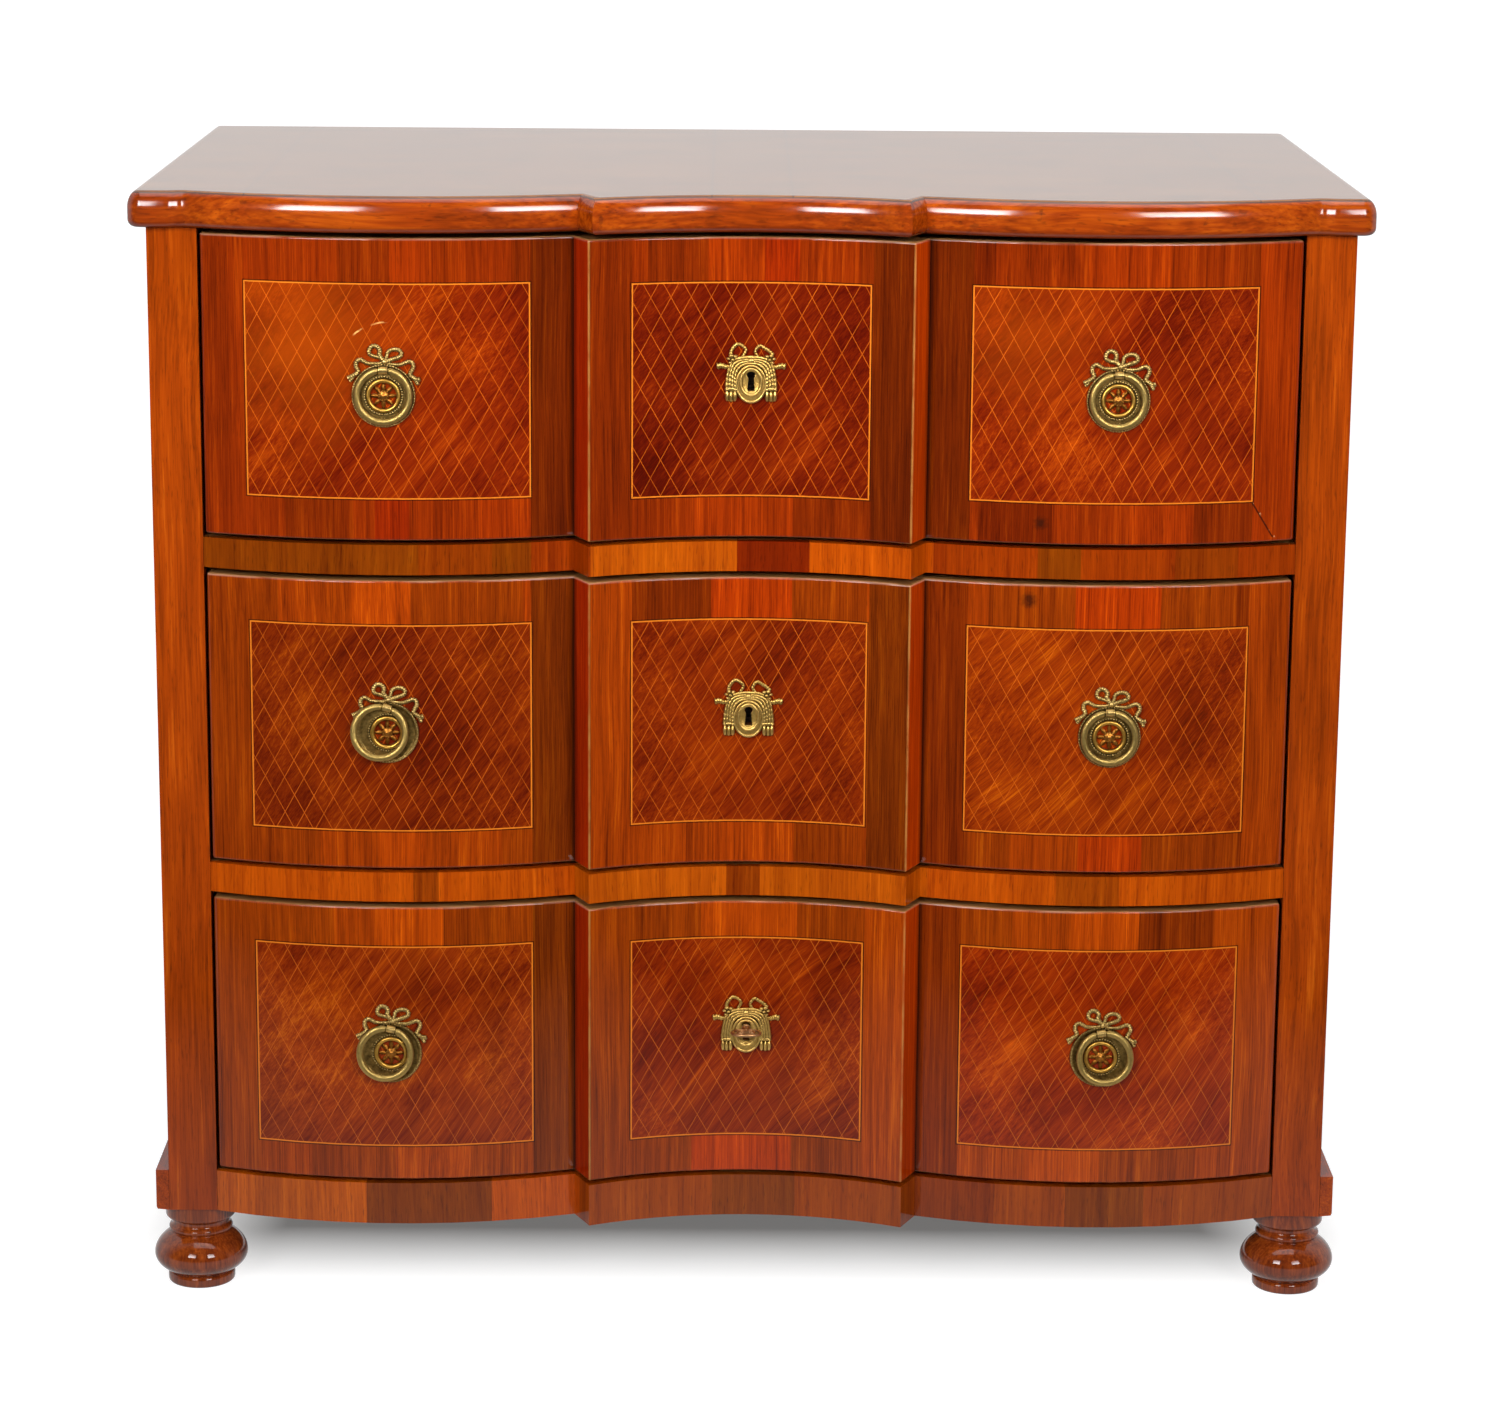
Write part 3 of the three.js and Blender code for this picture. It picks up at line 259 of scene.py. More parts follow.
class Wood(Graph):
    """Lacquered or plain wood. Its grain runs along one direction of the case."""

    def grain(self, along, turn=0.0, fine=1.0, seed=0.0, waver=0.0):
        """Streaks of 0 to 1 along 'x', 'y' or 'z', turned in the front plane, and pores as short dark dashes."""
        place = self.vector("ADD", self.position, (seed * 731.0, seed * 257.0, seed * 419.0))
        if turn:
            angle = (0.0, math.radians(turn), 0.0)
            node = self.node("ShaderNodeVectorRotate", {"Vector": place, "Rotation": angle}, rotation_type="EULER_XYZ")
            place = node.outputs[0]
        if waver:
            drift = self.noise(self.vector("SCALE", place, scale=0.006), detail=1.0)
            shift = self.math("MULTIPLY", self.math("SUBTRACT", drift, 0.5), waver)
            place = self.vector("ADD", place, self.combine(shift, shift, shift))
        slow, quick = 0.006, 0.16 * fine

        def stretched(factor, length=1.0):
            along_scale = slow * length
            across = quick * factor
            sizes = {"x": (along_scale, across, across), "y": (across, along_scale, across)}
            return self.vector("MULTIPLY", place, sizes.get(along, (across, across, along_scale)))

        broad = self.noise(stretched(0.25), detail=2.0)
        bands = self.noise(stretched(1.0), detail=3.0, roughness=0.6)
        lines = self.noise(stretched(4.0, 2.0), detail=2.0, roughness=0.6)
        pores = self.noise(stretched(7.0, 14.0), detail=1.0)
        streaks = self.math("MULTIPLY_ADD", bands, 0.38, self.math("MULTIPLY", broad, 0.22))
        streaks = self.math("MULTIPLY_ADD", lines, 0.4, streaks)
        streaks = self.spread(streaks, 0.33, 0.67)
        return streaks, self.spread(pores, 0.6, 0.72)

    def toned(self, streaks, pores, stops, depth=0.35, patch=(226, 226, 150)):
        colour = self.ramp(streaks, stops)
        patches = self.noise(self.vector("MULTIPLY", self.position, (0.022, 0.022, 0.005)), detail=2.0)
        colour = self.mix(self.spread(patches, 0.5, 0.72, 0.0, 0.7), colour, linear(patch), "MULTIPLY")
        return self.mix(self.math("MULTIPLY", pores, depth), colour, linear((40, 12, 4)))

    def lacquered(self, colour, pores, roughness=0.45, specular=0.0, coat=0.8, coat_roughness=0.06, coat_ior=1.45):
        """French polish: a clear skin that sinks a little into the pores and lies in faint waves."""
        waves = self.noise(self.position, detail=2.0, scale=0.02)
        height = self.math("MULTIPLY_ADD", pores, -0.03, self.math("MULTIPLY", waves, 0.2))
        smears = self.noise(self.position, detail=4.0, scale=0.012)
        rough = self.spread(smears, 0.3, 0.7, roughness - 0.04, roughness + 0.05)
        settings = {
            "Specular IOR Level": specular,
            "Coat Weight": coat,
            "Coat Roughness": coat_roughness,
            "Coat IOR": coat_ior,
        }
        return self.finish(colour, self.bump(height, 1.0, 0.5), rough, **settings)

    def bands(self, across, stops, low=-HALF_FRONT, high=HALF_FRONT):
        """Sheets of veneer side by side: each stop is where one starts and its colour."""
        factor = self.spread(across, low, high)
        places = [((start - low) / (high - low), colour) for start, colour in stops]
        return self.ramp(factor, places, "CONSTANT")


VENEER_STOPS = [(0.0, (98, 26, 2)), (0.35, (136, 42, 3)), (0.65, (162, 54, 4)), (1.0, (194, 78, 10))]
ORANGE = (255, 238, 210)
BRIGHT = (255, 255, 255)
PLAIN = (236, 222, 206)
BROWN = (214, 206, 186)
DARK = (186, 168, 140)
RED = (255, 206, 176)
SMOKED = (178, 178, 150)
CHERRY = (168, 112, 60)
COPPER = (205, 170, 140)
PLAIN_PATCH = (236, 222, 204)


def board_ends(wood, colour, inside):
    """Edges and backs of a veneered board show the plain wood under the veneer."""
    return wood.mix(inside, colour, inside_colour(wood))


def inside_colour(wood):
    streaks, pores = wood.grain("x", seed=5)
    stops = [(0.0, (112, 72, 38)), (0.5, (146, 100, 56)), (1.0, (172, 124, 74))]
    return wood.toned(streaks, pores, stops, 0.25, PLAIN_PATCH)


def front_material(bay, stringing_light, panel_gains, border_gain, border_stops):
    """A drawer front: crossbanded borders round three lattice panels, canted steps between."""
    wood = Wood(bay + "_front_veneer")
    wide = wood.math("ABSOLUTE", wood.x)
    seed = {"top": 1, "middle": 2, "bottom": 3}[bay]
    streaks, pores = wood.grain("z", fine=2.0, seed=seed, waver=6)
    border = wood.toned(streaks, pores, VENEER_STOPS)
    (side_low, side_high), (mid_low, mid_high) = PANEL_LEVELS[bay]
    middle = (side_low + side_high) / 2
    above = wood.math("GREATER_THAN", wood.z, middle)
    upper = wood.bands(wood.x, border_stops[0])
    lower = wood.bands(wood.x, border_stops[1])
    tint = wood.mix(above, lower, upper)

    # Distance into the nearest panel, across and up
    centre, half = SIDE_PANEL
    off = wood.math("ABSOLUTE", wood.math("SUBTRACT", wide, centre))

    def depth(across, low, high):
        up = wood.math("MINIMUM", wood.math("SUBTRACT", wood.z, low), wood.math("SUBTRACT", high, wood.z))
        return wood.math("MINIMUM", across, up)

    side_across, mid_across = wood.math("SUBTRACT", half, off), wood.math("SUBTRACT", MIDDLE_PANEL, wide)
    side = depth(side_across, side_low, side_high)
    mid = depth(mid_across, mid_low, mid_high)
    inner = wood.math("MAXIMUM", side, mid)
    upright = wood.math("LESS_THAN", wood.math("MAXIMUM", side_across, mid_across), 0.0)
    tint = wood.mix(upright, tint, wood.bands(wood.x, border_stops[2]))
    border = wood.mix(1.0, border, tint, "MULTIPLY")
    border = wood.mix(1.0, border, (*border_gain, 1.0), "MULTIPLY")

    # Panel ground, its figure rising to the right
    flame, panel_pores = wood.grain("x", turn=46 + seed, fine=1.7, seed=seed + 3, waver=30)
    cloud = wood.noise(wood.vector("MULTIPLY", wood.position, (0.010, 0.0, 0.012)), detail=2.0)
    tone = wood.math("MULTIPLY_ADD", flame, 0.62, wood.math("MULTIPLY", wood.spread(cloud, 0.3, 0.72), 0.45))
    stops = [(0.0, (70, 12, 1)), (0.35, (114, 24, 2)), (0.65, (148, 42, 3)), (1.0, (200, 78, 8))]
    panel = wood.toned(tone, panel_pores, stops, 0.2)
    left, centre_gain, right = ((*gain, 1.0) for gain in panel_gains)
    gain = wood.mix(wood.math("GREATER_THAN", wood.x, -CANT_OUTER), left, centre_gain)
    gain = wood.mix(wood.math("GREATER_THAN", wood.x, CANT_OUTER), gain, right)
    panel = wood.mix(1.0, panel, gain, "MULTIPLY")
    # The top drawer's side panels get painted sheens: lighter ragged patches standing in for the lamps' reflection in
    # the lacquer.
    if bay == "top":
        for place, size, strength in PAINTED_SHEENS:
            off = wood.node("ShaderNodeVectorMath", {0: wood.position, 1: place}, operation="DISTANCE").outputs["Value"]
            ragged = wood.noise(wood.vector("MULTIPLY", wood.position, (0.02, 0.0, 0.03)), detail=4.0, roughness=0.6)
            off = wood.math("MULTIPLY_ADD", wood.math("SUBTRACT", ragged, 0.5), 110.0, off)
            light = wood.spread(off, size, 0.0, 0.0, strength)
            panel = wood.mix(light, panel, linear((180, 74, 5)))

    # Lattice
    pitch_x, pitch_z = LATTICE
    u = wood.math("DIVIDE", wood.x, pitch_x)
    v = wood.math("DIVIDE", wood.z, pitch_z)

    def line(value):
        off_line = wood.math("ABSOLUTE", wood.math("SUBTRACT", wood.math("FRACT", wood.math("ADD", value, 100.5)), 0.5))
        return wood.spread(off_line, LATTICE_LINE - 0.008, LATTICE_LINE + 0.008, 1.0, 0.0)

    lines = wood.math("MAXIMUM", line(wood.math("ADD", u, v)), line(wood.math("SUBTRACT", u, v)))
    wear = wood.spread(wood.noise(wood.position, detail=2.0, scale=0.03), 0.35, 0.65, 0.5, 1.0)
    light = linear(stringing_light)
    faded = wood.mix(0.35, light, panel)
    panel = wood.mix(wood.math("MULTIPLY", lines, wear), panel, faded)

    colour = wood.mix(wood.math("GREATER_THAN", inner, 0.0), border, panel)
    edge = wood.spread(wood.math("ABSOLUTE", inner), 0.45, 0.65, 1.0, 0.0)
    shade = wood.spread(wood.math("ABSOLUTE", wood.math("ADD", inner, 1.1)), 0.35, 0.6, 0.75, 0.0)
    colour = wood.mix(shade, colour, linear((46, 16, 4)))
    colour = wood.mix(edge, colour, linear((224, 122, 30)))

    # Canted steps: red-brown with the right one painted lighter as if lit, a worn line on the arris, painted shade in
    # the corner
    cant = wood.math("MULTIPLY", wood.spread(wide, HOLLOW_HALF - 1, HOLLOW_HALF), wood.spread(wide, CANT_OUTER, CANT_OUTER - 1))
    red = wood.toned(streaks, pores, [(0.0, (128, 24, 2)), (0.6, (170, 40, 3)), (1.0, (198, 60, 6))])
    # The right cant is painted lighter than the left, standing in for the light that falls on it: painted light.
    red = wood.mix(wood.math("GREATER_THAN", wood.x, 0.0), red, wood.mix(1.0, red, (1.4, 2.4, 1.0, 1.0), "MULTIPLY"))
    colour = wood.mix(cant, colour, red)
    worn = wood.spread(wood.math("ABSOLUTE", wood.math("SUBTRACT", wide, HOLLOW_HALF - 0.4)), 0.5, 1.3, 0.6, 0.0)
    worn = wood.math("MULTIPLY", worn, wood.spread(wood.noise(wood.position, scale=0.05), 0.35, 0.6, 0.35, 1.0))
    colour = wood.mix(worn, colour, linear((196, 140, 70)))
    # Darkening in the inner corner where the cant meets the lobe: painted shade.
    grime_and_shade = wood.spread(wood.math("ABSOLUTE", wood.math("SUBTRACT", wide, CANT_OUTER)), 0.2, 3.5, 0.8, 0.0)
    colour = wood.mix(grime_and_shade, colour, linear((34, 10, 4)))

    # Knots, and the open mitre at the top drawer's lower right corner
    for knot_x, knot_z, size in KNOTS.get(bay, ()):
        dx, dz = wood.math("SUBTRACT", wood.x, knot_x), wood.math("SUBTRACT", wood.z, knot_z)
        off = wood.math("SQRT", wood.math("ADD", wood.math("MULTIPLY", dx, dx), wood.math("MULTIPLY", dz, dz)))
        off = wood.math("MULTIPLY_ADD", wood.noise(wood.position, scale=0.3), -1.3 * size, off)
        colour = wood.mix(wood.spread(off, -0.3 * size, 0.7 * size, 0.8, 0.0), colour, linear((50, 18, 6)))
    if bay == "top":
        corner_x, corner_z, lean, length = MITRE
        down = wood.math("SUBTRACT", corner_z, wood.z)
        off = wood.math("SUBTRACT", wood.math("SUBTRACT", wood.x, corner_x), wood.math("MULTIPLY", down, lean))
        mark = wood.math("MULTIPLY", wood.spread(down, 0.0, 1.0), wood.spread(down, length, length + 1, 1.0, 0.0))
        dark = wood.math("MULTIPLY", mark, wood.spread(wood.math("ABSOLUTE", off), 0.4, 1.1, 0.85, 0.0))
        colour = wood.mix(dark, colour, linear((40, 14, 5)))
        chips = wood.spread(wood.noise(wood.position, detail=2.0, scale=0.25), 0.55, 0.62)
        pale = wood.math("MULTIPLY", chips, wood.spread(wood.math("ABSOLUTE", wood.math("SUBTRACT", off, 1.4)), 0.5, 1.2, 0.8, 0.0))
        colour = wood.mix(wood.math("MULTIPLY", mark, pale), colour, linear((214, 150, 96)))

    # Worn polish with a painted highlight along the upper edge, and the scratch over the left pull of the top drawer
    # The pale patchy line along the upper edge is partly worn polish, partly a painted highlight on the rounded arris.
    top_edge = wood.spread(wood.z, LEVELS[bay][1] - 2.4, LEVELS[bay][1] - 0.6)
    patchy = wood.spread(wood.noise(wood.vector("MULTIPLY", wood.position, (0.02, 0.02, 0.2)), detail=3.0), 0.4, 0.62, 0.1, 0.75)
    colour = wood.mix(wood.math("MULTIPLY", top_edge, patchy), colour, linear((206, 158, 128)))
    if bay == "top":
        centre_x, centre_z, radius = SCRATCH
        dx, dz = wood.math("SUBTRACT", wood.x, centre_x), wood.math("SUBTRACT", wood.z, centre_z)
        reach = wood.math("SQRT", wood.math("ADD", wood.math("MULTIPLY", dx, dx), wood.math("MULTIPLY", dz, dz)))
        mark = wood.spread(wood.math("ABSOLUTE", wood.math("SUBTRACT", reach, radius)), 0.3, 0.9, 1.0, 0.0)
        for low, high in ((-radius * 0.66, -radius * 0.6), (0.0, -2.0)):
            mark = wood.math("MULTIPLY", mark, wood.spread(dx, low, high))
        mark = wood.math("MULTIPLY", mark, wood.math("GREATER_THAN", dz, 0.0))
        broken = wood.spread(wood.noise(wood.position, detail=2.0, scale=0.12), 0.42, 0.55)
        colour = wood.mix(wood.math("MULTIPLY", mark, broken), colour, linear((240, 176, 96)))

    # Behind the veneer, and on the upper and lower edges
    behind = wood.spread(wood.y, POST_FACE + 2, POST_FACE + 4)
    behind = wood.math("MAXIMUM", behind, wood.spread(wood.math("ABSOLUTE", wood.facing_up), 0.6, 0.8))
    colour = wood.mix(behind, colour, inside_colour(wood))
    return wood.lacquered(colour, pores)


def crossbanded(name, bands, stops=VENEER_STOPS, seed=0, behind=4.0):
    """A rail or moulding whose veneer runs up and down in short lengths of different colour."""
    wood = Wood(name)
    streaks, pores = wood.grain("z", fine=1.0, seed=seed, waver=10)
    colour = wood.toned(streaks, pores, stops)
    if bands:
        colour = wood.mix(1.0, colour, wood.bands(wood.x, bands), "MULTIPLY")
    if behind is not None:
        colour = wood.mix(wood.spread(wood.y, POST_FACE + behind, POST_FACE + behind + 2), colour, inside_colour(wood))
    return wood.lacquered(colour, pores)


def lengthwise(name, along, stops, seed=0, fine=1.0, waver=14, **finish):
    wood = Wood(name)
    streaks, pores = wood.grain(along, fine=fine, seed=seed, waver=waver)
    return wood.lacquered(wood.toned(streaks, pores, stops), pores, **finish)


def top_material():
    """The top: sheets of veneer side by side, with fine seams, worn lacquer and an edge of solid wood."""
    wood = Wood("top_veneer")
    streaks, pores = wood.grain("x", fine=0.8, seed=11, waver=40)
    stops = [(0.0, (106, 56, 18)), (0.5, (146, 86, 32)), (1.0, (172, 112, 50))]
    colour = wood.toned(streaks, pores, stops)
    for seam in (-400.0, -32.0, 32.0, 400.0):
        off = wood.math("ABSOLUTE", wood.math("SUBTRACT", wood.x, seam))
        colour = wood.mix(wood.spread(off, 0.3, 0.9, 0.6, 0.0), colour, linear((58, 24, 10)))
    edge_streaks, edge_pores = wood.grain("x", fine=0.5, seed=12, waver=20)
    edge_stops = [(0.0, (96, 32, 2)), (0.45, (144, 52, 3)), (1.0, (188, 84, 9))]
    edge = wood.toned(edge_streaks, edge_pores, edge_stops)
    on_edge = wood.spread(wood.z, SLAB_HIGH - 2.2, SLAB_HIGH - 1.2, 1.0, 0.0)
    colour = wood.mix(on_edge, colour, edge)
    arris = wood.spread(wood.math("ABSOLUTE", wood.math("SUBTRACT", wood.z, SLAB_HIGH - 1.5)), 0.35, 0.9, 0.75, 0.0)
    colour = wood.mix(arris, colour, linear((50, 20, 8)))
    # The lower rounding of the edge is darkened where it turns downwards: painted shade.
    lower = wood.spread(wood.z, SLAB_LOW + 2.5, SLAB_LOW + 6.5, 0.6, 0.0)
    colour = wood.mix(lower, colour, linear((88, 24, 4)))
    spots = wood.spread(wood.noise(wood.position, detail=3.0, scale=0.09), 0.66, 0.72)
    colour = wood.mix(wood.math("MULTIPLY", spots, 0.4), colour, linear((60, 26, 12)))
    skin = wood.spread(wood.z, SLAB_HIGH - 4.0, SLAB_HIGH - 0.4, 0.6, 1.0)
    return wood.lacquered(colour, pores, specular=0.0, coat=skin, coat_roughness=0.12, coat_ior=1.75)


def foot_material():
    wood = Wood("turned_wood")
    streaks, pores = wood.grain("z", fine=0.7, seed=21, waver=50)
    stops = [(0.0, (78, 26, 6)), (0.4, (130, 52, 13)), (0.75, (164, 74, 22)), (1.0, (190, 98, 38))]
    return wood.lacquered(wood.toned(streaks, pores, stops), pores, specular=0.0, coat=1.0, coat_roughness=0.06, coat_ior=1.5)


def plain_wood(name, along, stops, seed):
    wood = Wood(name)
    streaks, pores = wood.grain(along, fine=0.6, seed=seed, waver=25)
    colour = wood.toned(streaks, pores, stops, 0.3, PLAIN_PATCH)
    height = wood.math("MULTIPLY_ADD", pores, -0.2, wood.math("MULTIPLY", streaks, 0.12))
    return wood.finish(colour, wood.bump(height, 1.0, 0.6), wood.spread(streaks, 0.0, 1.0, 0.75, 0.6))


# Metal


def brass_material(name, back, depth=2.6, bright=(208, 176, 104), mid=(158, 128, 66), low=(70, 50, 20), shine=(0.5, 0.34),
                   middle=None):
    """Old gilt: dull and dark towards the back plane, darkened in its recesses by grime and painted shade, rubbed
    bright on what stands out.
    """
    brass = Graph(name)
    out = brass.math("SUBTRACT", back, brass.y)
    height = brass.spread(out, 0.3, depth)
    patches = brass.noise(brass.position, detail=4.0, scale=0.35)
    level = brass.math("MULTIPLY_ADD", brass.spread(patches, 0.3, 0.7), 0.4, brass.math("MULTIPLY", height, 0.75))
    colour = brass.ramp(level, [(0.0, low), (0.45, mid), (1.0, bright)])
    if middle is not None:
        across = brass.math("SUBTRACT", brass.math("ABSOLUTE", brass.x), middle[0])
        up = brass.math("SUBTRACT", brass.z, middle[1])
        reach = brass.math("SQRT", brass.math("ADD", brass.math("MULTIPLY", across, across), brass.math("MULTIPLY", up, up)))
        for radius, tint in ((13.9, (255, 232, 176)), (10.1, (226, 196, 190))):
            warm = brass.mix(1.0, colour, linear(tint), "MULTIPLY")
            colour = brass.mix(brass.spread(reach, radius, radius + 0.3, 1.0, 0.0), colour, warm)
    # Recesses found by ambient occlusion are darkened: grime and painted shade.
    openness = brass.node("ShaderNodeAmbientOcclusion", {"Distance": 2.2 * MM}, samples=8).outputs["AO"]
    grime_and_shade = brass.spread(openness, 0.35, 0.85, 0.92, 0.0)
    colour = brass.mix(grime_and_shade, colour, linear((30, 18, 7)))
    rough = brass.math("MULTIPLY_ADD", grime_and_shade, 0.25, brass.spread(level, 0.0, 1.0, *shine))
    grit = brass.noise(brass.position, detail=3.0, scale=2.2)
    return brass.finish(colour, brass.bump(grit, 0.12, 0.5), rough, Metallic=1.0)


def steel_material(name="lock_steel", stops=((70, 66, 60), (128, 122, 112))):
    steel = Graph(name)
    patches = steel.noise(steel.position, detail=5.0, scale=0.12)
    scratches = steel.noise(steel.vector("MULTIPLY", steel.position, (0.1, 0.1, 2.0)), detail=3.0)
    level = steel.math("MULTIPLY_ADD", patches, 0.6, steel.math("MULTIPLY", scratches, 0.4))
    colour = steel.ramp(steel.spread(level, 0.35, 0.65), [(0.0, stops[0]), (1.0, stops[1])])
    return steel.finish(colour, steel.bump(scratches, 0.08), steel.spread(level, 0.3, 0.7, 0.6, 0.38), Metallic=1.0)


# Shapes


class Shape:
    """The mesh of one piece. Points are given in its own millimetres, and placed in the case's."""

    def __init__(self, place):
        self.place = place
        self.points = []
        self.faces = []

    def add(self, points, faces):
        first = len(self.points)
        self.points += [self.place(Vector(point)) for point in points]
        self.faces += [[first + i for i in face] for face in faces]

    def rows(self, rows, around=True, loop=False, first_cap=True):
        """A skin over rows of points. Rows may close on themselves, and the last may join the first."""
        count = len(rows[0])
        faces = []
        for i in range(len(rows) if loop else len(rows) - 1):
            here, there = i * count, (i + 1) % len(rows) * count
            for j in range(count if around else count - 1):
                k = (j + 1) % count
                faces.append((here + j, here + k, there + k, there + j))
        if around and not loop and first_cap:
            faces.append(tuple(range(count)))
        if around and not loop:
            faces.append(tuple(range((len(rows) - 1) * count, len(rows) * count)))
        self.add([point for row in rows for point in row], faces)

    def turned(self, profile, segments, centre=(0, 0), ring=False):
        """A profile of (radius, height) turned about a line through the centre; a ring's profile is closed."""
        rows = []
        for i in range(segments):
            angle = TAU * i / segments
            across, up = math.sin(angle), math.cos(angle)
            rows.append([(centre[0] + r * across, centre[1] + r * up, h) for r, h in profile])
        self.rows(rows, around=ring, loop=True)

    def prism(self, outline, low, high):
        self.rows([[(*point, low) for point in outline], [(*point, high) for point in outline]])

    def ball(self, centre, sizes, steps=(10, 6)):
        """An ellipsoid about a centre."""
        around, up = steps
        rows = []
        for i in range(around):
            angle = TAU * i / around
            row = []
            for j in range(up + 1):
                lift = math.pi * (j / up - 0.5)
                direction = (math.cos(lift) * math.cos(angle), math.cos(lift) * math.sin(angle), math.sin(lift))
                row.append(tuple(c + s * d for c, s, d in zip(centre, sizes, direction)))
            rows.append(row)
        self.rows(rows, around=False, loop=True)

    def beads(self, ring, centre=(0, 0), steps=(8, 4)):
        count, circle, radius, height = ring
        for i in range(count):
            angle = TAU * (i + 0.5) / count
            place = (centre[0] + circle * math.sin(angle), centre[1] + circle * math.cos(angle), height)
            self.ball(place, (radius, radius, radius), steps)

    def tube(self, path, size_at, sides=12, loop=False, flat=1.0):
        """A bar along a path in the plate's plane. size_at gives its half width at a share of the length."""
        rows = []
        count = len(path)
        for i, point in enumerate(path):
            before = path[i - 1] if i or loop else point
            after = path[(i + 1) % count] if i < count - 1 or loop else point
            ahead = (after - before).normalized()
            aside = Vector((ahead.y, -ahead.x, 0.0)).normalized()
            out = ahead.cross(aside)
            half = size_at(i / (count - 1))
            row = []
            for j in range(sides):
                angle = TAU * j / sides
                row.append(point + aside * (half * math.cos(angle)) + out * (half * flat * math.sin(angle)))
            rows.append(row)
        self.rows(rows, around=True, loop=loop)

    def ribbon(self, points, half=RIBBON_HALF, lift=RIBBON_LIFT, pitch=1.7, flat=0.66, taper=(1.0, 0.75), depth=0.15):
        """A cross-ribbed ribbon through places in the plate's plane."""
        path = curve([Vector((x, z, lift)) for x, z in points], 0.3)
        length = sum((b - a).length for a, b in zip(path, path[1:]))

        def size(share):
            ribs = 1 + depth * math.cos(TAU * share * length / pitch)
            return half * ribs * (taper[0] + (taper[1] - taper[0]) * share)

        self.tube(path, size, flat=flat)

    def make(self, name, body, material, nodes, smooth=40.0):
        mesh = bpy.data.meshes.new(name)
        mesh.from_pydata([point * MM for point in self.points], [], self.faces)
        work = bmesh.new()
        work.from_mesh(mesh)
        bmesh.ops.remove_doubles(work, verts=work.verts, dist=0.004 * MM)
        bmesh.ops.dissolve_degenerate(work, edges=work.edges, dist=0.001 * MM)
        bmesh.ops.recalc_face_normals(work, faces=work.faces)
        limit = math.radians(smooth)
        for face in work.faces:
            face.smooth = True
        for edge in work.edges:
            if len(edge.link_faces) == 2 and edge.calc_face_angle() > limit:
                edge.smooth = False
        work.to_mesh(mesh)
        work.free()
        mesh.materials.append(material)
        piece = bpy.data.objects.new(name, mesh)
        bpy.context.scene.collection.objects.link(piece)
        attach(piece, body)
        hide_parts(*nodes)
        return piece


def curve(points, step):
    """Places about a step apart on a smooth curve through the points."""
    ends = [points[0] * 2 - points[1], *points, points[-1] * 2 - points[-2]]
    out = []
    for a, b, c, d in zip(ends, ends[1:], ends[2:], ends[3:]):
        steps = max(2, round((c - b).length / step))
        for i in range(steps):
            t = i / steps
            place = b * 2 + (c - a) * t + (a * 2 - b * 5 + c * 4 - d) * t**2 + (b * 3 - a - c * 3 + d) * t**3
            out.append(place / 2)
    out.append(points[-1])
    return out


def on_floor(x, y):
    """Places (across, back, up) about an upright axis in the case."""
    return lambda point: Vector((x + point.x, POST_FACE + y + point.y, point.z))


def on_plate(x, back, z):
    """Places (right, up, out) about the middle of a plate whose back lies on a drawer's front."""
    return lambda point: Vector((x + point.x, POST_FACE + back - point.z, z + point.y))


# Top


def circle_through(a, b, c):
    d = 2 * (a[0] * (b[1] - c[1]) + b[0] * (c[1] - a[1]) + c[0] * (a[1] - b[1]))
    squares = [p[0] ** 2 + p[1] ** 2 for p in (a, b, c)]
    x = (squares[0] * (b[1] - c[1]) + squares[1] * (c[1] - a[1]) + squares[2] * (a[1] - b[1])) / d
    y = (squares[0] * (c[0] - b[0]) + squares[1] * (a[0] - c[0]) + squares[2] * (b[0] - a[0])) / d
    return x, y, math.hypot(a[0] - x, a[1] - y)


def hollow_y(x):
    cx, cy, radius = circle_through((-HOLLOW_HALF, HOLLOW_FRONT), (0, HOLLOW_MIDDLE), (HOLLOW_HALF, HOLLOW_FRONT))
    return cy + math.sqrt(radius**2 - (x - cx) ** 2)


def slab_outline(back):
    cant_inner = HOLLOW_HALF - SLAB_CANT_SHIFT
    cant_outer = CANT_OUTER - SLAB_CANT_SHIFT
    right = []
    for i in range(CURVE_STEPS + 1):
        share = i / CURVE_STEPS
        right.append((share * cant_inner, hollow_y(share * HOLLOW_HALF) + SLAB_FRONT))
    ends = (cant_outer, LOBE_START + SLAB_FRONT), (SLAB_BLOCK_INNER, SLAB_BLOCK_STEP + SLAB_FRONT)
    middle = ((cant_outer + SLAB_BLOCK_INNER) / 2, LOBE_FRONT + SLAB_FRONT)
    cx, cy, radius = circle_through(ends[0], middle, ends[1])
    for i in range(CURVE_STEPS + 1):
        x = cant_outer + (SLAB_BLOCK_INNER - cant_outer) * i / CURVE_STEPS
        right.append((x, cy - math.sqrt(radius**2 - (x - cx) ** 2)))
    for i in range(1, BLOCK_STEPS + 1):
        share = i / BLOCK_STEPS
        rise = SLAB_BLOCK_STEP * share * share * (3 - 2 * share)
        right.append((SLAB_BLOCK_INNER + SLAB_BLOCK_SWELL * share, SLAB_FRONT + SLAB_BLOCK_STEP - rise))
    for i in range(CORNER_STEPS + 1):
        angle = math.pi / 2 * i / CORNER_STEPS
        out, ahead = SLAB_CORNER * (1 - math.sin(angle)), SLAB_CORNER * (1 - math.cos(angle))
        right.append((SLAB_HALF - out, SLAB_FRONT + ahead))
    right.append((SLAB_HALF, back))
    return [(-x, y) for x, y in reversed(right[1:])] + right + [(0.0, back)]


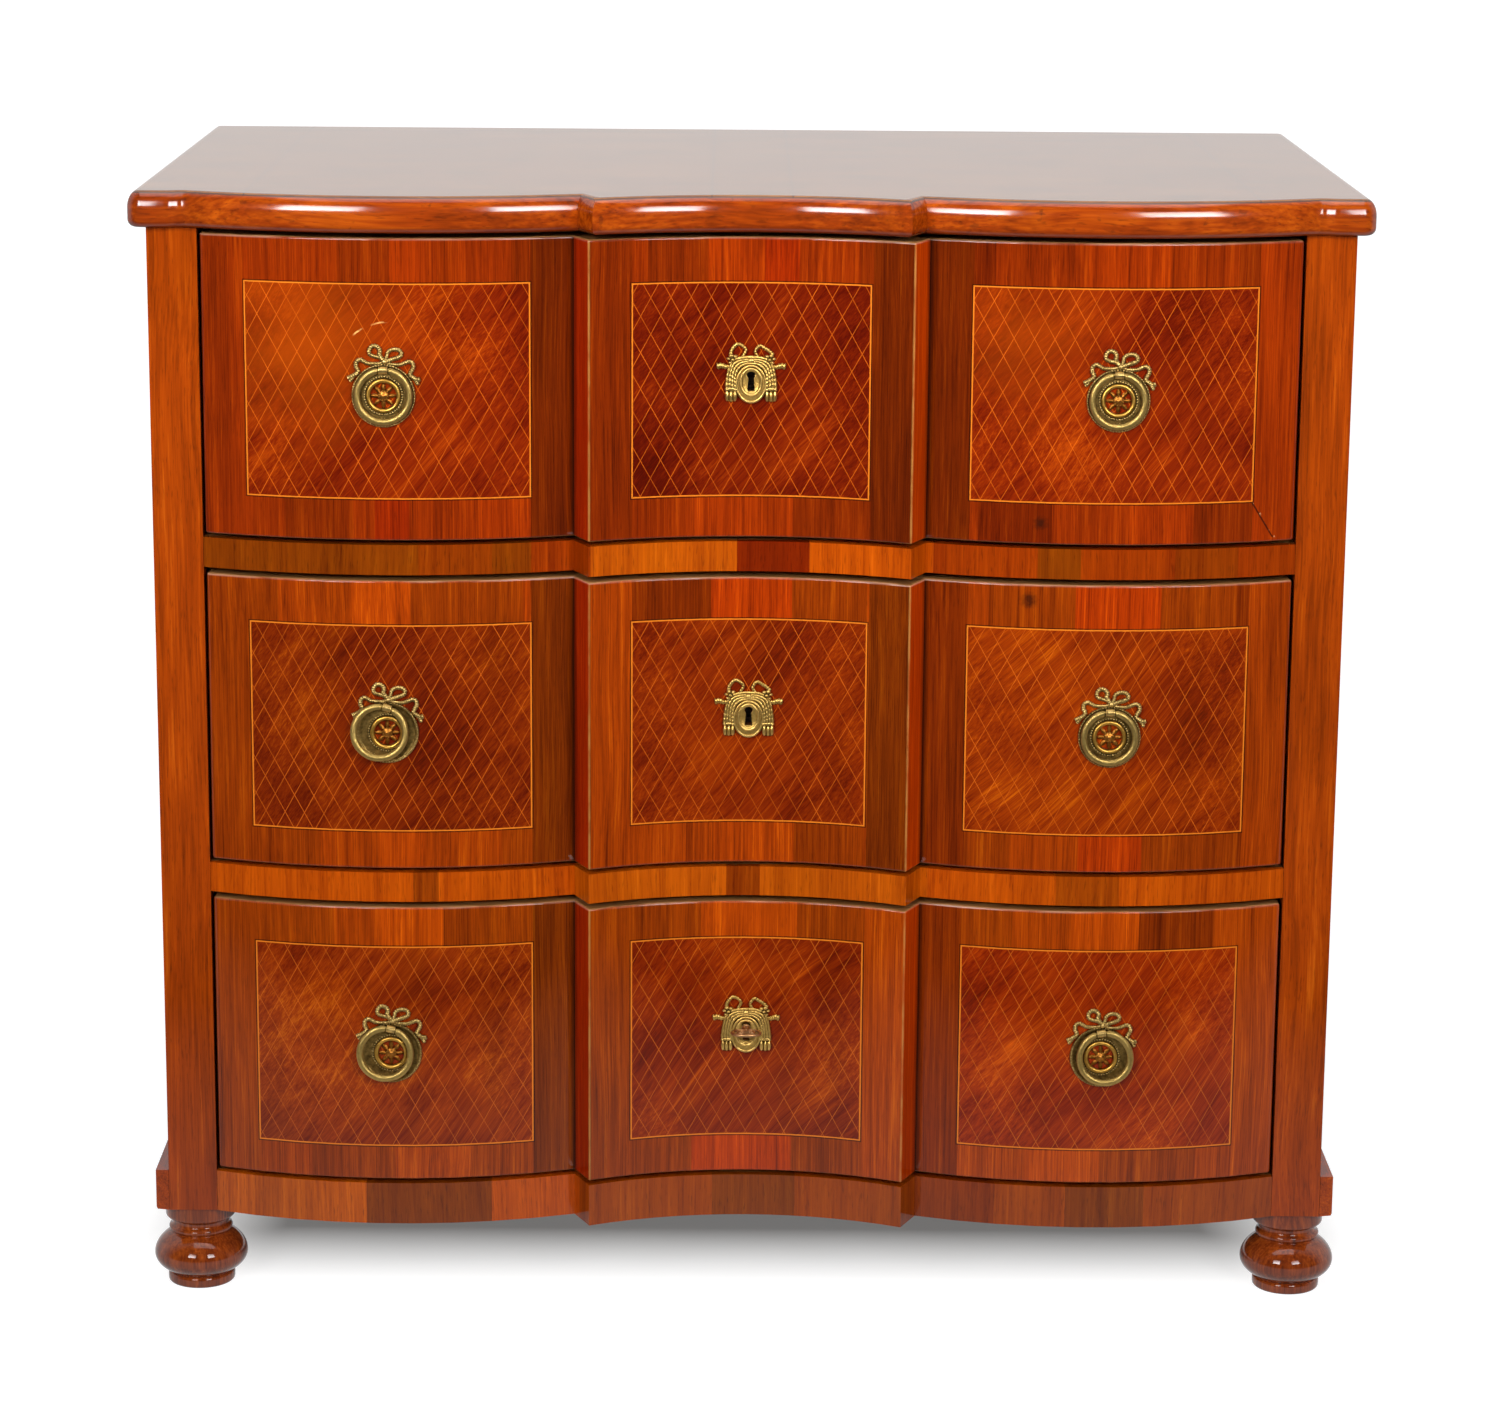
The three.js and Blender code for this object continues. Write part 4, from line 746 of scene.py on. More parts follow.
def inset(points, distance):
    """The outline moved inwards, its corners kept sharp. It runs with the inside on its left."""
    count = len(points)
    out = []
    for i in range(count):
        here = Vector(points[i])
        first = (here - Vector(points[i - 1])).normalized()
        second = (Vector(points[(i + 1) % count]) - here).normalized()
        a, b = Vector((-first.y, first.x)), Vector((-second.y, second.x))
        out.append(here + (a + b) * (distance / (1 + a.dot(b))))
    return out


def table_top():
    shape = Shape(on_floor(0, 0))
    rows = []
    for i in range(SLAB_EDGE_STEPS + 1):
        angle = math.pi / 2 * i / SLAB_EDGE_STEPS
        rows.append((SLAB_LOW_ROUND * (1 - math.sin(angle)), SLAB_LOW + SLAB_LOW_ROUND * (1 - math.cos(angle))))
    for i in range(SLAB_EDGE_STEPS + 1):
        angle = math.pi / 2 * i / SLAB_EDGE_STEPS
        rows.append((SLAB_HIGH_ROUND * (1 - math.cos(angle)), SLAB_HIGH - SLAB_HIGH_DROP * (1 - math.sin(angle))))
    rows = [(rows[0][0] + SLAB_FLAT_RIM, SLAB_LOW), *rows, (rows[-1][0] + SLAB_FLAT_RIM, SLAB_HIGH)]
    rows = [[(*p, z) for p in inset(slab_outline(SLAB_BACK + by), by)] for by, z in rows]
    shape.rows(rows, first_cap=False)

    # Underside in two halves round the pocket for the top lock's bolt
    low, middle = rows[0], len(rows[0]) // 2 - 1
    half, front, rear, depth = BOLT_POCKET
    pocket = [(0, front), (half, front), (half, rear), (0, rear), (-half, rear), (-half, front)]
    hole = [(*p, SLAB_LOW) for p in pocket]
    left = low[: middle + 1] + [hole[0], hole[5], hole[4], hole[3], low[-1]]
    right = low[middle:] + [hole[3], hole[2], hole[1], hole[0]]
    for face in (left, right):
        shape.add(face, [range(len(face))])
    shape.rows([hole, [(*p, SLAB_LOW + depth) for p in pocket]], first_cap=False)
    piece = shape.make("table_top", "case", top_material(), ["top"], smooth=50)
    bevel = piece.modifiers.new("corners", "BEVEL")
    bevel.width = SLAB_CORNER_BEVEL * MM
    bevel.segments = 3
    bevel.limit_method = "ANGLE"
    bevel.angle_limit = math.radians(35)
    return piece


# Feet


def ball_at(height):
    reach = BALL_LOW if height < BALL_MIDDLE else BALL_HIGH
    return BALL_RADIUS * math.sqrt(max(0.0, 1 - ((height - BALL_MIDDLE) / reach) ** 2))


def foot_profile():
    points = [(0, 0), (25.5, 0), (26.9, 0.5), (27.7, 1.4), (28, 2.7), (28, 6.8), (27.6, 8.2), (26.8, 9.1), (26, 9.5)]
    steps = 22
    for i in range(1, steps + 1):
        share = (1 - math.cos(math.pi * i / steps)) / 2
        height = BALL_BOTTOM + (BALL_TOP - BALL_BOTTOM) * share
        points.append((max(26.0, ball_at(height)) if height < BALL_MIDDLE else ball_at(height), height))
    points += [
        (24.9, 44.6), (25.2, 45.4), (26.1, 46), (26.5, 47.2), (26.6, 48.4), (26.1, 49.6), (25.1, 50.3), (24.1, 51),
        (23.6, 52.2), (23.5, 54), (23.8, 55.6), (24.8, 56.6), (26.6, 57.1), (28, 57.6), (28.9, 58.6), (29.3, 60.4),
        (29.3, 71), (9, 71), (9, 80), (0, 80),
    ]
    return points


def feet():
    material = foot_material()
    for side, sign in (("left", -1), ("right", 1)):
        for row, y in FOOT_ROWS.items():
            shape = Shape(on_floor(sign * FOOT_X, y))
            shape.turned(foot_profile(), FOOT_SEGMENTS)
            node = row + "_" + side + "_foot"
            shape.make("turned_" + node, "case", material, [node], smooth=48)


# Pulls


def about_hinge(x, z, turn, lift):
    """Places of a ring or lug about the hinge, the ring hanging down and the drawer behind."""
    middle = Vector((x, POST_FACE + LOBE_FRONT - SEAT - HINGE_OUT, z + RING_MIDDLE))
    spin = Matrix.Rotation(math.radians(turn), 3, "Y") @ Matrix.Rotation(-math.radians(lift), 3, "X")
    return lambda point: middle + spin @ Vector((point.x, -point.z, point.y))


def along_hinge(place):
    """The same places, with heights measured along the hinge's own line instead of out of the plate."""
    return lambda point: place(Vector((point.z, point.x, point.y)))


LUG_PROFILE = [
    (2, -3.5), (2.8, -3.5), (3.05, -3.3), (3.1, -2.7), (2.85, -2.45), (2.85, -2.2), (3.1, -1.95), (3.1, 1.95),
    (2.85, 2.2), (2.85, 2.45), (3.1, 2.7), (3.05, 3.3), (2.8, 3.5), (2, 3.5),
]


def petal(shape, angle):
    rows = []
    across, up = math.sin(angle), math.cos(angle)
    for radius, half, top in PETAL_RIB:
        row = []
        for side, height in ((-1, 0.2), (-1, 0.9), (-0.55, top * 0.8), (0, top), (0.55, top * 0.8), (1, 0.9), (1, 0.2)):
            aside = side * half
            row.append((radius * across + aside * up, radius * up - aside * across, height))
        rows.append(row)
    shape.rows(rows)


def pull_plate(bay, index, material):
    side, sign = (("left", -1), ("right", 1))[index]
    x, z = sign * PULL_X, PULL_Z[bay]
    shape = Shape(on_plate(x, LOBE_FRONT - SEAT, z))
    shape.turned(PLATE_PROFILE, PLATE_SEGMENTS, ring=True)
    shape.beads(OUTER_BEADS)
    shape.beads(INNER_BEADS)
    for i in range(PETALS):
        petal(shape, TAU * i / PETALS)
    shape.turned(HUB_PROFILE, 32)
    shape.beads(HUB_BEADS)
    shape.turned(KNOT_PROFILE, 24, KNOT_PLACE)
    for i, points in enumerate(PULL_RIBBONS):
        shape.ribbon(points, taper=(0.8, 1.0) if i in (1, 3) else (0.9, 1.2))

    lug = about_hinge(x, z, PULL_TURNS[bay][index], 0)
    shape.place = along_hinge(lug)
    shape.turned(LUG_PROFILE, 32, ring=True)
    shape.place = lug
    stem = [(-2.7, -2.4), (2.7, -2.4), (2.9, -2.2), (2.9, 2.2), (2.7, 2.4), (-2.7, 2.4), (-2.9, 2.2), (-2.9, -2.2)]
    shape.prism(stem, -2.2 - (HINGE_OUT - 3.0), -2.0)
    reach = FRONT_BACK - LOBE_FRONT + SEAT
    shank = [(0, -HINGE_OUT), (2.5, -HINGE_OUT), (2.5, -HINGE_OUT - reach - 6), (2, -HINGE_OUT - reach - 6.5), (0, -HINGE_OUT - reach - 6.5)]
    shape.turned(shank, 24)
    nut_face = -HINGE_OUT - reach - SEAT
    nut = [(5 * math.sin(TAU * k / 6), 5 * math.cos(TAU * k / 6)) for k in range(6)]
    inner = [(px * 0.93, py * 0.93) for px, py in nut]
    shape.rows([
        [(*p, nut_face) for p in inner], [(*p, nut_face - 0.4) for p in nut],
        [(*p, nut_face - 3.6) for p in nut], [(*p, nut_face - 4) for p in inner],
    ])
    name = bay + "_" + side + "_pull_plate"
    shape.make("gilt_" + name, bay + "_drawer", material, [name])


def pull_ring(bay, index, material):
    side, sign = (("left", -1), ("right", 1))[index]
    place = about_hinge(sign * PULL_X, PULL_Z[bay], PULL_TURNS[bay][index], PULL_LIFTS[bay][index])
    shape = Shape(place)
    start = math.asin(BAR_START / RING_MIDDLE)
    steps = 150
    path = []
    for i in range(steps + 1):
        angle = start + (TAU - 2 * start) * i / steps
        path.append(Vector((RING_MIDDLE * math.sin(angle), RING_MIDDLE * (math.cos(angle) - 1), 0.0)))

    def size(share):
        degrees = math.degrees(start + (TAU - 2 * start) * share)
        out = BAR_RADIUS
        for leaf in LEAF_ANGLES:
            off = abs(degrees - leaf) / LEAF_HALF
            if off < 1:
                out += 0.13 + 0.1 * math.cos(off * 5 * math.pi)
        end = min(share, 1 - share) * steps
        return out * min(1.0, 0.72 + 0.14 * end)

    shape.tube(path, size, sides=20, flat=BAR_FLAT)
    for across in (-1.1, 1.1):
        shape.ball((across, 3.2 - 2 * RING_MIDDLE, 1.1), (0.6, 0.6, 0.6))
    shape.place = along_hinge(place)
    shape.turned([(0, -PIN_REACH), (PIN_RADIUS, -PIN_REACH), (PIN_RADIUS, PIN_REACH), (0, PIN_REACH)], 20)
    name = bay + "_" + side + "_pull_ring"
    shape.make("gilt_" + name, bay + "_" + side + "_ring", material, [name])


# Escutcheons


def keyhole_reach(angle):
    """How far the keyhole reaches from its middle in a direction."""
    across, up = math.sin(angle), math.cos(angle)
    top, bottom, drop = KEY_SLOT
    best = 0.0
    reach = 0.05
    while reach < 12:
        x, z = reach * across, reach * up
        in_round = math.hypot(x, z - KEY_RISE) < KEY_ROUND
        in_slot = -drop < z < KEY_RISE and abs(x) < top + (bottom - top) * (KEY_RISE - z) / (KEY_RISE + drop)
        if in_round or in_slot:
            best = reach
        reach += 0.05
    return best


def oval_row(oval, grow, height):
    half_width, half_height, middle = oval
    row = []
    for i in range(OVAL_STEPS):
        angle = TAU * i / OVAL_STEPS
        row.append(((half_width + grow) * math.sin(angle), middle + (half_height + grow) * math.cos(angle), height))
    return row


def escutcheon(bay, material):
    back = hollow_y(ESCUTCHEON_HALF) - SEAT
    shape = Shape(on_plate(0, back, KEYHOLE_Z[bay]))
    reaches = [keyhole_reach(TAU * i / OVAL_STEPS) for i in range(OVAL_STEPS)]
    reaches = [(reaches[i - 1] + 2 * reaches[i] + reaches[(i + 1) % OVAL_STEPS]) / 4 for i in range(OVAL_STEPS)]

    def hole(grow, height):
        row = []
        for i, reach in enumerate(reaches):
            angle = TAU * i / OVAL_STEPS
            row.append(((reach + grow) * math.sin(angle), (reach + grow) * math.cos(angle), height))
        return row

    section = [hole(0, 0), hole(0, 1.8), hole(0.25, 2.05), hole(0.6, 2.1)]
    for grow, height in ((-2.2, 2.1), (-1.7, 2.3), (-1.2, 2.9), (-0.5, 3.3), (0.2, 3.3), (0.8, 2.9), (1.1, 2.3)):
        section.append(oval_row(INNER_OVAL, grow, height))
    for grow, height in ((-1.3, 2.2), (-0.9, 2.8), (-0.3, 3.1), (0.4, 3), (0.9, 2.5), (1.1, 1.7), (1.1, 0)):
        section.append(oval_row(OUTER_OVAL, grow, height))
    shape.rows(section, around=True, loop=True)

    for sign in (-1, 1):
        def side(points):
            return [(sign * px, pz) for px, pz in points]

        cloth = side([(0, 18.6), (8, 18.2), (16.4, 18.6), (17.4, 14), (16.6, 9), (19, -1), (20.2, -8), (20.6, -13),
                      (19.4, -16.4), (15.5, -17), (12, -15.4), (10.6, -9), (10.4, 0), (9, 7), (5, 11), (0, 12)])
        shape.prism(cloth, 0, 1.3)
        for k in range(PLEATS):
            out = k * PLEAT_STEP
            fold = side([(0, 13.9 + out * 0.72), (5.4 + out * 0.5, 13.2 + out * 0.75), (10 + out * 0.8, 10 + out * 0.8),
                         (12.5 + out * 0.85, 4.4 + out * 0.5), (12.9 + out, -2.4), (12.7 + out * 1.05, -8.0)])
            if k == PLEATS - 1:
                fold = fold[2:]
            shape.ribbon(fold, half=1.25, lift=1.75 - 0.15 * k, pitch=2.9 + 0.3 * k, flat=0.9, taper=(0.85, 1.15), depth=0.06)
        for px, pz in ((12.8, -12.2), (16.0, -12.4), (19.1, -12)):
            tip = side([(px, pz)])[0]
            shape.ball((*tip, 1.5), (1.75, 4.7, 1.9), (14, 10))
        shape.ribbon(side([(11.6, -7.0), (16, -6.4), (20.2, -7.2)]), half=0.9, lift=2.3, pitch=1.6, flat=0.8, taper=(1, 1))
        for px, pz, size in ((12.6, 19.4, 2.0), (16, 20, 2.1), (18, 17.6, 1.7), (14.6, 16.8, 1.8), (17, 14.4, 1.5)):
            tip = side([(px, pz)])[0]
            shape.ball((*tip, 1.3), (size, size * 0.7, 1.7), (12, 8))
        tail = side([(16.2, 11.4), (20, 11), (24, 12), (27.4, 11.2)])
        shape.ribbon(tail, half=2.1, lift=1.0, pitch=2.1, flat=0.5, taper=(0.75, 1.15))
    shape.ribbon([(-12.6, 17), (-7, 18.4), (0, 18.8), (7, 18.4), (12.6, 17)], half=1.3, lift=1.3, taper=(1, 1), depth=0.08)
    shape.ball((0, 16.2, 1.9), (2.8, 1.9, 1.5), (14, 8))
    shape.ribbon([(-16, 19.4), (-16, 23.4), (-13.8, 27), (-11.3, 29.2), (-7.4, 28.2), (-4.4, 24.6), (-6.8, 19.4)],
                 half=1.35, lift=1.1, pitch=2.3, taper=(1.1, 0.85), depth=0.1)
    shape.ribbon([(5.2, 19.2), (3.2, 23.4), (6.6, 28.0), (10.8, 26), (14.8, 23.4), (17.4, 20.6)],
                 half=1.35, lift=1.1, pitch=2.3, taper=(0.85, 1.1), depth=0.1)
    name = bay + "_escutcheon"
    shape.make("gilt_" + name, bay + "_drawer", material, [name])


# Key


def key():
    axis = KEYHOLE_Z["bottom"] + KEY_RISE
    material = brass_material("key_brass", POST_FACE + 40, 60, bright=(190, 144, 98), mid=(146, 102, 62), low=(78, 48, 26))
    shape = Shape(lambda point: Vector((point.x, POST_FACE - point.z, axis + point.y)))
    shaft = [
        (0, -17), (2.2, -17), (2.7, -16.4), (2.7, 12.6), (3.2, 13), (4, 13.6), (4, 15.6), (3.4, 16.2), (3, 16.8),
        (3, 17.8), (2.4, 18.6), (1.9, 20.4), (0, 20.8),
    ]
    shape.turned(shaft, 32)
    shape.rows([[(0, -1, h), (8.3, -1, h), (8.3, 1, h), (0, 1, h)] for h in (-16, -11.5)])
    shape.place = lambda point: Vector((point.x, POST_FACE - point.y, axis + point.z))
    loops = (
        [(0, 18.6), (3.4, 18.8), (7.8, 19.6), (10.8, 22.4), (11.4, 26), (10.2, 29.6), (6.8, 32.2), (3, 33.2), (0, 33.4)],
        [(0.6, 19.4), (2.6, 21.4), (5.6, 22.2), (6.6, 24.6), (5, 26.4), (3.2, 25.2)],
    )
    for sign in (-1, 1):
        for points in loops:
            path = curve([Vector((sign * px, py, 0.0)) for px, py in points], 0.4)
            shape.tube(path, lambda share: 1.3, sides=14)
        shape.ball((sign * 11.1, 24.8, 0), (1.6, 2.2, 1.35), (14, 8))
        shape.ball((sign * 3.2, 25.2, 0), (1.5, 1.5, 1.35), (14, 8))
    shape.make("bow_key", "key", material, ["key"])


# CAD nodes that keep their shape


def softened():
    """Joins each board's facets, keeps its sharp edges and shades its curves smoothly."""
    group = bpy.data.node_groups.new("softened", "GeometryNodeTree")
    group.interface.new_socket("Geometry", in_out="INPUT", socket_type="NodeSocketGeometry")
    group.interface.new_socket("Geometry", in_out="OUTPUT", socket_type="NodeSocketGeometry")
    nodes, links = group.nodes, group.links
    entry, leave = nodes.new("NodeGroupInput"), nodes.new("NodeGroupOutput")
    merge = nodes.new("GeometryNodeMergeByDistance")
    merge.inputs["Distance"].default_value = 0.01 * MM
    plain = nodes.new("GeometryNodeRemoveAttribute")
    plain.inputs["Name"].default_value = "custom_normal"
    angle = nodes.new("GeometryNodeInputMeshEdgeAngle")
    compare = nodes.new("FunctionNodeCompare")
    compare.data_type = "FLOAT"
    compare.operation = "LESS_THAN"
    compare.inputs[1].default_value = math.radians(50)
    edges = nodes.new("GeometryNodeSetShadeSmooth")
    edges.domain = "EDGE"
    faces = nodes.new("GeometryNodeSetShadeSmooth")
    faces.domain = "FACE"
    links.new(entry.outputs[0], merge.inputs["Geometry"])
    links.new(merge.outputs[0], plain.inputs["Geometry"])
    links.new(plain.outputs[0], edges.inputs["Geometry"])
    links.new(angle.outputs["Unsigned Angle"], compare.inputs[0])
    links.new(compare.outputs[0], edges.inputs["Shade Smooth"])
    links.new(edges.outputs[0], faces.inputs["Geometry"])
    links.new(faces.outputs[0], leave.inputs[0])
    return group


SOFTENED = softened()


def dress(node, material):
    piece = frame["nodes"][node]
    piece.data.materials.clear()
    piece.data.materials.append(material)
    modifier = piece.modifiers.new("softened", "NODES")
    modifier.node_group = SOFTENED
    weighted = piece.modifiers.new("weighted", "WEIGHTED_NORMAL")
    weighted.keep_sharp = True


BORDER_TABLES = {
    "top": (
        [(-440.5, ORANGE), (-402, PLAIN), (-330, BROWN), (-288, ORANGE), (-262, PLAIN), (-190, BROWN), (-129, PLAIN),
         (-85, BROWN), (-36, ORANGE), (10, RED), (36, PLAIN), (86, BROWN), (129, DARK), (190, PLAIN), (262, ORANGE),
         (330, PLAIN), (385, BROWN), (420, PLAIN)],
        [(-440.5, PLAIN), (-372, BROWN), (-318, PLAIN), (-301, RED), (-272, PLAIN), (-220, ORANGE), (-160, BROWN),
         (-129, PLAIN), (-48, ORANGE), (33, BROWN), (129, PLAIN), (180, DARK), (240, PLAIN), (300, ORANGE),
         (352, BROWN), (400, PLAIN)],
        [(-440.5, PLAIN), (-176, SMOKED), (-129, BROWN), (94.5, SMOKED), (129, SMOKED), (402, ORANGE)],
    ),
    "middle": (
        [(-440.5, BROWN), (-380, PLAIN), (-322, ORANGE), (-274, BROWN), (-184, ORANGE), (-178, BROWN), (-129, DARK),
         (-32, RED), (34, BROWN), (129, PLAIN), (190, BROWN), (260, RED), (330, BROWN), (390, DARK)],
        [(-440.5, BROWN), (-350, PLAIN), (-300, ORANGE), (-262, PLAIN), (-200, BROWN), (-129, PLAIN), (-30, ORANGE),
         (36, BROWN), (129, BROWN), (210, PLAIN), (268, RED), (320, BROWN), (400, PLAIN)],
        [(-440.5, BROWN), (-176, SMOKED), (-129, PLAIN), (94.5, SMOKED), (129, DARK), (402, PLAIN)],
    ),
    "bottom": (
        [(-440.5, BROWN), (-340, PLAIN), (-300, ORANGE), (-250, BROWN), (-129, BROWN), (-40, ORANGE), (38, BROWN),
         (129, BROWN), (215, PLAIN), (262, ORANGE), (318, DARK), (380, PLAIN)],
        [(-440.5, PLAIN), (-360, BROWN), (-290, PLAIN), (-230, BROWN), (-129, BROWN), (-46, RED), (36, BROWN),
         (129, PLAIN), (230, ORANGE), (290, BROWN), (370, PLAIN)],
        [(-440.5, BROWN), (-176, SMOKED), (-129, BROWN), (94.5, PLAIN), (129, DARK), (402, PLAIN)],
    ),
}
PANEL_GAINS = {  # left, centre and right panel
    "top": ((0.78, 0.75, 0.7), (0.6, 0.5, 0.6), (0.85, 0.85, 0.8)),
    "middle": ((0.76, 1.0, 0.8), (0.9, 1.15, 0.8), (1.1, 1.6, 0.8)),
    "bottom": ((1.05, 1.6, 1.6), (0.92, 1.1, 0.8), (1.15, 1.35, 1.0)),
}
BORDER_GAINS = {"top": (0.98, 1.04, 0.7), "middle": (1.25, 1.75, 1.0), "bottom": (1.4, 2.1, 1.3)}
# Painted sheens on the top drawer's panels: middle, size and strength of each.
PAINTED_SHEENS = (((-352.0, POST_FACE - 20, 806.0), 100.0, 0.62), ((215.0, POST_FACE - 20, 815.0), 85.0, 0.35))
STRINGING = {"top": (238, 112, 22), "middle": (226, 108, 24), "bottom": (218, 108, 28)}
RAIL_BANDS = {
    "upper_rail": [(-440.5, SMOKED), (-267, DARK), (-208, SMOKED), (-176, COPPER), (-130, BRIGHT), (-11, CHERRY),
                   (46, ORANGE), (145, COPPER), (230, SMOKED), (262, COPPER), (340, DARK), (392, COPPER)],
    "lower_rail": [(-440.5, ORANGE), (-272, BROWN), (-253, ORANGE), (-143, BRIGHT), (-19, DARK), (10, BRIGHT),
                   (145, ORANGE), (250, BROWN), (300, ORANGE)],
    "base_rail": [(-440.5, BRIGHT), (-314, SMOKED), (-210, ORANGE), (-140, BROWN), (-30, SMOKED), (40, BROWN),
                  (140, DARK), (205, BROWN), (262, SMOKED), (330, BROWN)],
}
RAIL_STOPS = [(0.0, (142, 54, 3)), (0.4, (176, 76, 4)), (0.7, (194, 88, 5)), (1.0, (214, 106, 14))]
POST_STOPS = [(0.0, (112, 40, 3)), (0.4, (150, 56, 4)), (0.7, (172, 68, 5)), (1.0, (198, 92, 14))]
SIDE_STOPS = [(0.0, (112, 40, 5)), (0.5, (148, 60, 7)), (1.0, (184, 86, 18))]
PINE_STOPS = [(0.0, (140, 96, 52)), (0.5, (176, 130, 76)), (1.0, (204, 160, 102))]
OAK_STOPS = [(0.0, (112, 78, 44)), (0.5, (150, 110, 66)), (1.0, (178, 138, 90))]


def case_looks():
    for node, bands in RAIL_BANDS.items():
        dress(node, crossbanded(node + "_veneer", bands, RAIL_STOPS, seed=len(node)))
    for side, seed in (("left", 31), ("right", 37)):
        dress(side + "_post", lengthwise(side + "_post_veneer", "z", POST_STOPS, seed=seed))
        dress(side + "_side", lengthwise(side + "_side_veneer", "z", SIDE_STOPS, seed=seed + 2))
        dress(side + "_base_moulding", lengthwise(side + "_moulding_wood", "y", POST_STOPS, seed=seed + 3))
    pine_x = plain_wood("pine_across", "x", PINE_STOPS, 41)
    pine_y = plain_wood("pine_lengthwise", "y", PINE_STOPS, 42)
    pine_z = plain_wood("pine_upright", "z", OAK_STOPS, 43)
    dress("back_panel", pine_z)
    dress("bottom_board", pine_x)
    for bay in LEVELS:
        dress(bay + "_drawer_back", pine_x)
        dress(bay + "_drawer_bottom", pine_x)
        for side in ("left", "right"):
            dress(bay + "_drawer_" + side + "_side", pine_y)
            dress(side + "_" + bay + "_runner", pine_y)


def drawer_looks():
    steel = steel_material()
    bolt = steel_material("bolt_steel", ((96, 90, 80), (156, 148, 134)))
    plate_back = POST_FACE + LOBE_FRONT - SEAT
    ring_brass = brass_material("ring_brass", plate_back - 1.6, 4.4, (184, 154, 88), (138, 112, 60), (52, 38, 16), (0.58, 0.4))
    shield_back = POST_FACE + hollow_y(ESCUTCHEON_HALF) - SEAT
    shield_brass = brass_material("shield_brass", shield_back, 3.0, (228, 188, 106), (180, 138, 64))
    for bay in LEVELS:
        veneer = front_material(bay, STRINGING[bay], PANEL_GAINS[bay], BORDER_GAINS[bay], BORDER_TABLES[bay])
        dress(bay + "_drawer_front", veneer)
        dress(bay + "_lock_case", steel)
        dress(bay + "_lock_bolt", bolt)
        escutcheon(bay, shield_brass)
        middle = PULL_X, PULL_Z[bay]
        gilt = (214, 180, 110), (150, 120, 64), (46, 32, 14)
        plate_brass = brass_material(bay + "_plate_brass", plate_back, 3.0, *gilt, middle=middle)
        for index in (0, 1):
            pull_plate(bay, index, plate_brass)
            pull_ring(bay, index, ring_brass)


# Stage

CAMERA_PLACE = (-0.01749, -3.61361, 1.27984)
CAMERA_YAW, CAMERA_PITCH, CAMERA_ROLL = 0.3189, -13.0145, 0.4494
CAMERA_FOCAL = 4240.1  # in pixels of a picture 1500 wide
PICTURE_WIDTH = 1500
SENSOR = 36.0


def camera():
    yaw, pitch, roll = map(math.radians, (CAMERA_YAW, CAMERA_PITCH, CAMERA_ROLL))
    ahead = Vector((math.sin(yaw) * math.cos(pitch), math.cos(yaw) * math.cos(pitch), math.sin(pitch)))
    right = Vector((math.cos(yaw), -math.sin(yaw), 0.0))
    up = right.cross(ahead)
    across = right * math.cos(roll) + up * math.sin(roll)
    above = up * math.cos(roll) - right * math.sin(roll)
    data = bpy.data.cameras.new("camera")
    data.sensor_width = SENSOR
    data.sensor_fit = "HORIZONTAL"
    data.lens = CAMERA_FOCAL / PICTURE_WIDTH * SENSOR
    data.clip_end = 100
    piece = bpy.data.objects.new("camera", data)
    turn = Matrix((across, above, -ahead)).transposed().to_4x4()
    piece.matrix_world = Matrix.Translation(CAMERA_PLACE) @ turn
    bpy.context.scene.collection.objects.link(piece)
    bpy.context.scene.camera = piece


def lamp(name, place, target, size, watts, spread=180):
    data = bpy.data.lights.new(name, "AREA")
    data.shape = "RECTANGLE"
    data.size, data.size_y = size
    data.energy = watts
    data.spread = math.radians(spread)
    piece = bpy.data.objects.new(name, data)
    piece.location = place
    piece.rotation_euler = (Vector(target) - Vector(place)).to_track_quat("-Z", "Y").to_euler()
    bpy.context.scene.collection.objects.link(piece)


